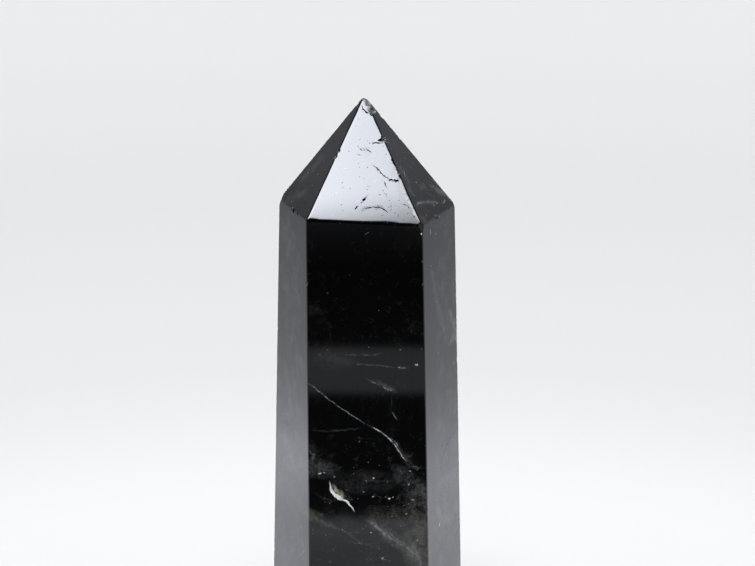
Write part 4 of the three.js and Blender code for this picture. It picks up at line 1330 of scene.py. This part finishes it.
class MorionSizes(PropertyGroup):
    edge_ease: length_setting("Edge ease", "Width of the polished strip along an edge", 0.00022)
    edge_softness: length_setting(
        "Edge softness", "Measure of how round the polished edges are", 0.000022)
    edge_unevenness: FloatProperty(
        name="Edge unevenness", description="How much the softness varies along an edge",
        default=0.45, min=0.0, max=0.9, subtype="FACTOR")
    foot_bevel: length_setting("Foot bevel", "Width of the bevel round the foot", 0.0007)
    tip_wear: length_setting("Tip wear", "How much of the ideal tip is gone", 0.0007)
    flush_depth: length_setting(
        "Flush depth", "Depth to which the first strokes are let in", 0.000008)


class MorionColours(PropertyGroup):
    black: colour_setting("Morion black", "Body colour of the clear black quartz", (0.0008, 0.0008, 0.0009))
    smoke: colour_setting("Smoke", "Olive-brown clouds low in the stone", (0.030, 0.028, 0.018))
    olive: colour_setting("Olive", "Olive fog in the front face", (0.07, 0.066, 0.038))
    milk: colour_setting("Milk", "Whitish mottling and threads", (0.10, 0.10, 0.095))
    fleck: colour_setting("Fleck", "Tiny inclusions under the polish", (0.95, 0.94, 0.86))
    bruise: colour_setting("Bruise", "Crushed quartz in chips and cracks", (0.36, 0.36, 0.37))
    bare: colour_setting("Bare", "Unpolished dots in the polish", (0.07, 0.07, 0.08))
    polish: FloatProperty(
        name="Polish", description="Roughness of the polished faces", default=0.03, min=0.0,
        max=1.0, subtype="FACTOR")


class MorionStudio(PropertyGroup):
    room: FloatProperty(name="Room light", description="Strength of the pale room", default=1.0, min=0.0)
    box: FloatProperty(name="Soft box", description="Strength of the soft box", default=18.6, min=0.0)
    room_tint: colour_setting("Room tint", "Colour of the room's light", (0.90, 0.925, 1.0))
    box_tint: colour_setting("Soft box tint", "Colour of the soft box's light", (0.88, 0.92, 1.0))
    floor: colour_setting("Floor", "Colour of the floor and wall", (0.83, 0.80, 0.755))
    flat: length_setting("Flat floor", "Radius of the flat floor", 0.5)
    bend: length_setting("Bend", "Radius of the curve between floor and wall", 0.5)
    wall: length_setting("Wall", "Height of the upright wall over the curve", 1.2)
    lens: FloatProperty(
        name="Lens", description="Focal length of the camera", default=75.0, min=10.0, subtype="NONE")
    camera_dip: FloatProperty(
        name="Camera dip", description="How far the camera looks down", default=np.radians(12.0),
        unit="ROTATION")
    camera_place: FloatVectorProperty(
        name="Camera place", description="Where the camera stands", default=(0.00194, -0.3009, 0.1573),
        size=3, subtype="XYZ_LENGTH")


class MORION_OT_stone(Operator):
    """Grind the stone, cut its chips, cracks and veins, and give every face its finish"""
    bl_idname = "morion.stone"
    bl_label = "Stone"

    def execute(self, context):
        sizes, colours = context.scene.morion_sizes, context.scene.morion_colours
        ground = Ground(sizes)
        stone = solid(PIECE, [blank(ground)])
        for shells in all_cuts(sizes.flush_depth / MM):
            cut(stone, solid("cutter", shells))
        finish_stone(stone, ground, {
            "polish": polish_material(colours), "break": break_material(colours),
            "pit": pit_material(colours)})
        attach(stone, "root")
        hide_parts(NODE)
        return {"FINISHED"}


class MORION_OT_studio(Operator):
    """Set up the floor, the light of the room and the camera"""
    bl_idname = "morion.studio"
    bl_label = "Studio"

    def execute(self, context):
        studio = context.scene.morion_studio
        studio_world(studio)
        studio_floor(studio)
        studio_camera(studio)
        context.scene.view_settings.view_transform = "Standard"
        return {"FINISHED"}


class MORION_PT_panel(Panel):
    """Lists what the add-on makes, in the order it is made"""
    bl_idname = "MORION_PT_panel"
    bl_label = "Morion point"
    bl_space_type = "VIEW_3D"
    bl_region_type = "UI"
    bl_category = "Morion"

    def draw(self, context):
        for kind in OPERATORS:
            self.layout.operator(kind.bl_idname)


OPERATORS = (MORION_OT_stone, MORION_OT_studio)
GROUPS = {"morion_sizes": MorionSizes, "morion_colours": MorionColours, "morion_studio": MorionStudio}
CLASSES = (*GROUPS.values(), *OPERATORS, MORION_PT_panel)


def register():
    for kind in CLASSES:
        bpy.utils.register_class(kind)
    for name, kind in GROUPS.items():
        setattr(bpy.types.Scene, name, PointerProperty(type=kind))


def unregister():
    for name in GROUPS:
        delattr(bpy.types.Scene, name)
    for kind in reversed(CLASSES):
        bpy.utils.unregister_class(kind)


def main():
    """Makes everything."""
    register()
    bpy.ops.morion.stone()
    bpy.ops.morion.studio()


if __name__ == "__main__":
    main()
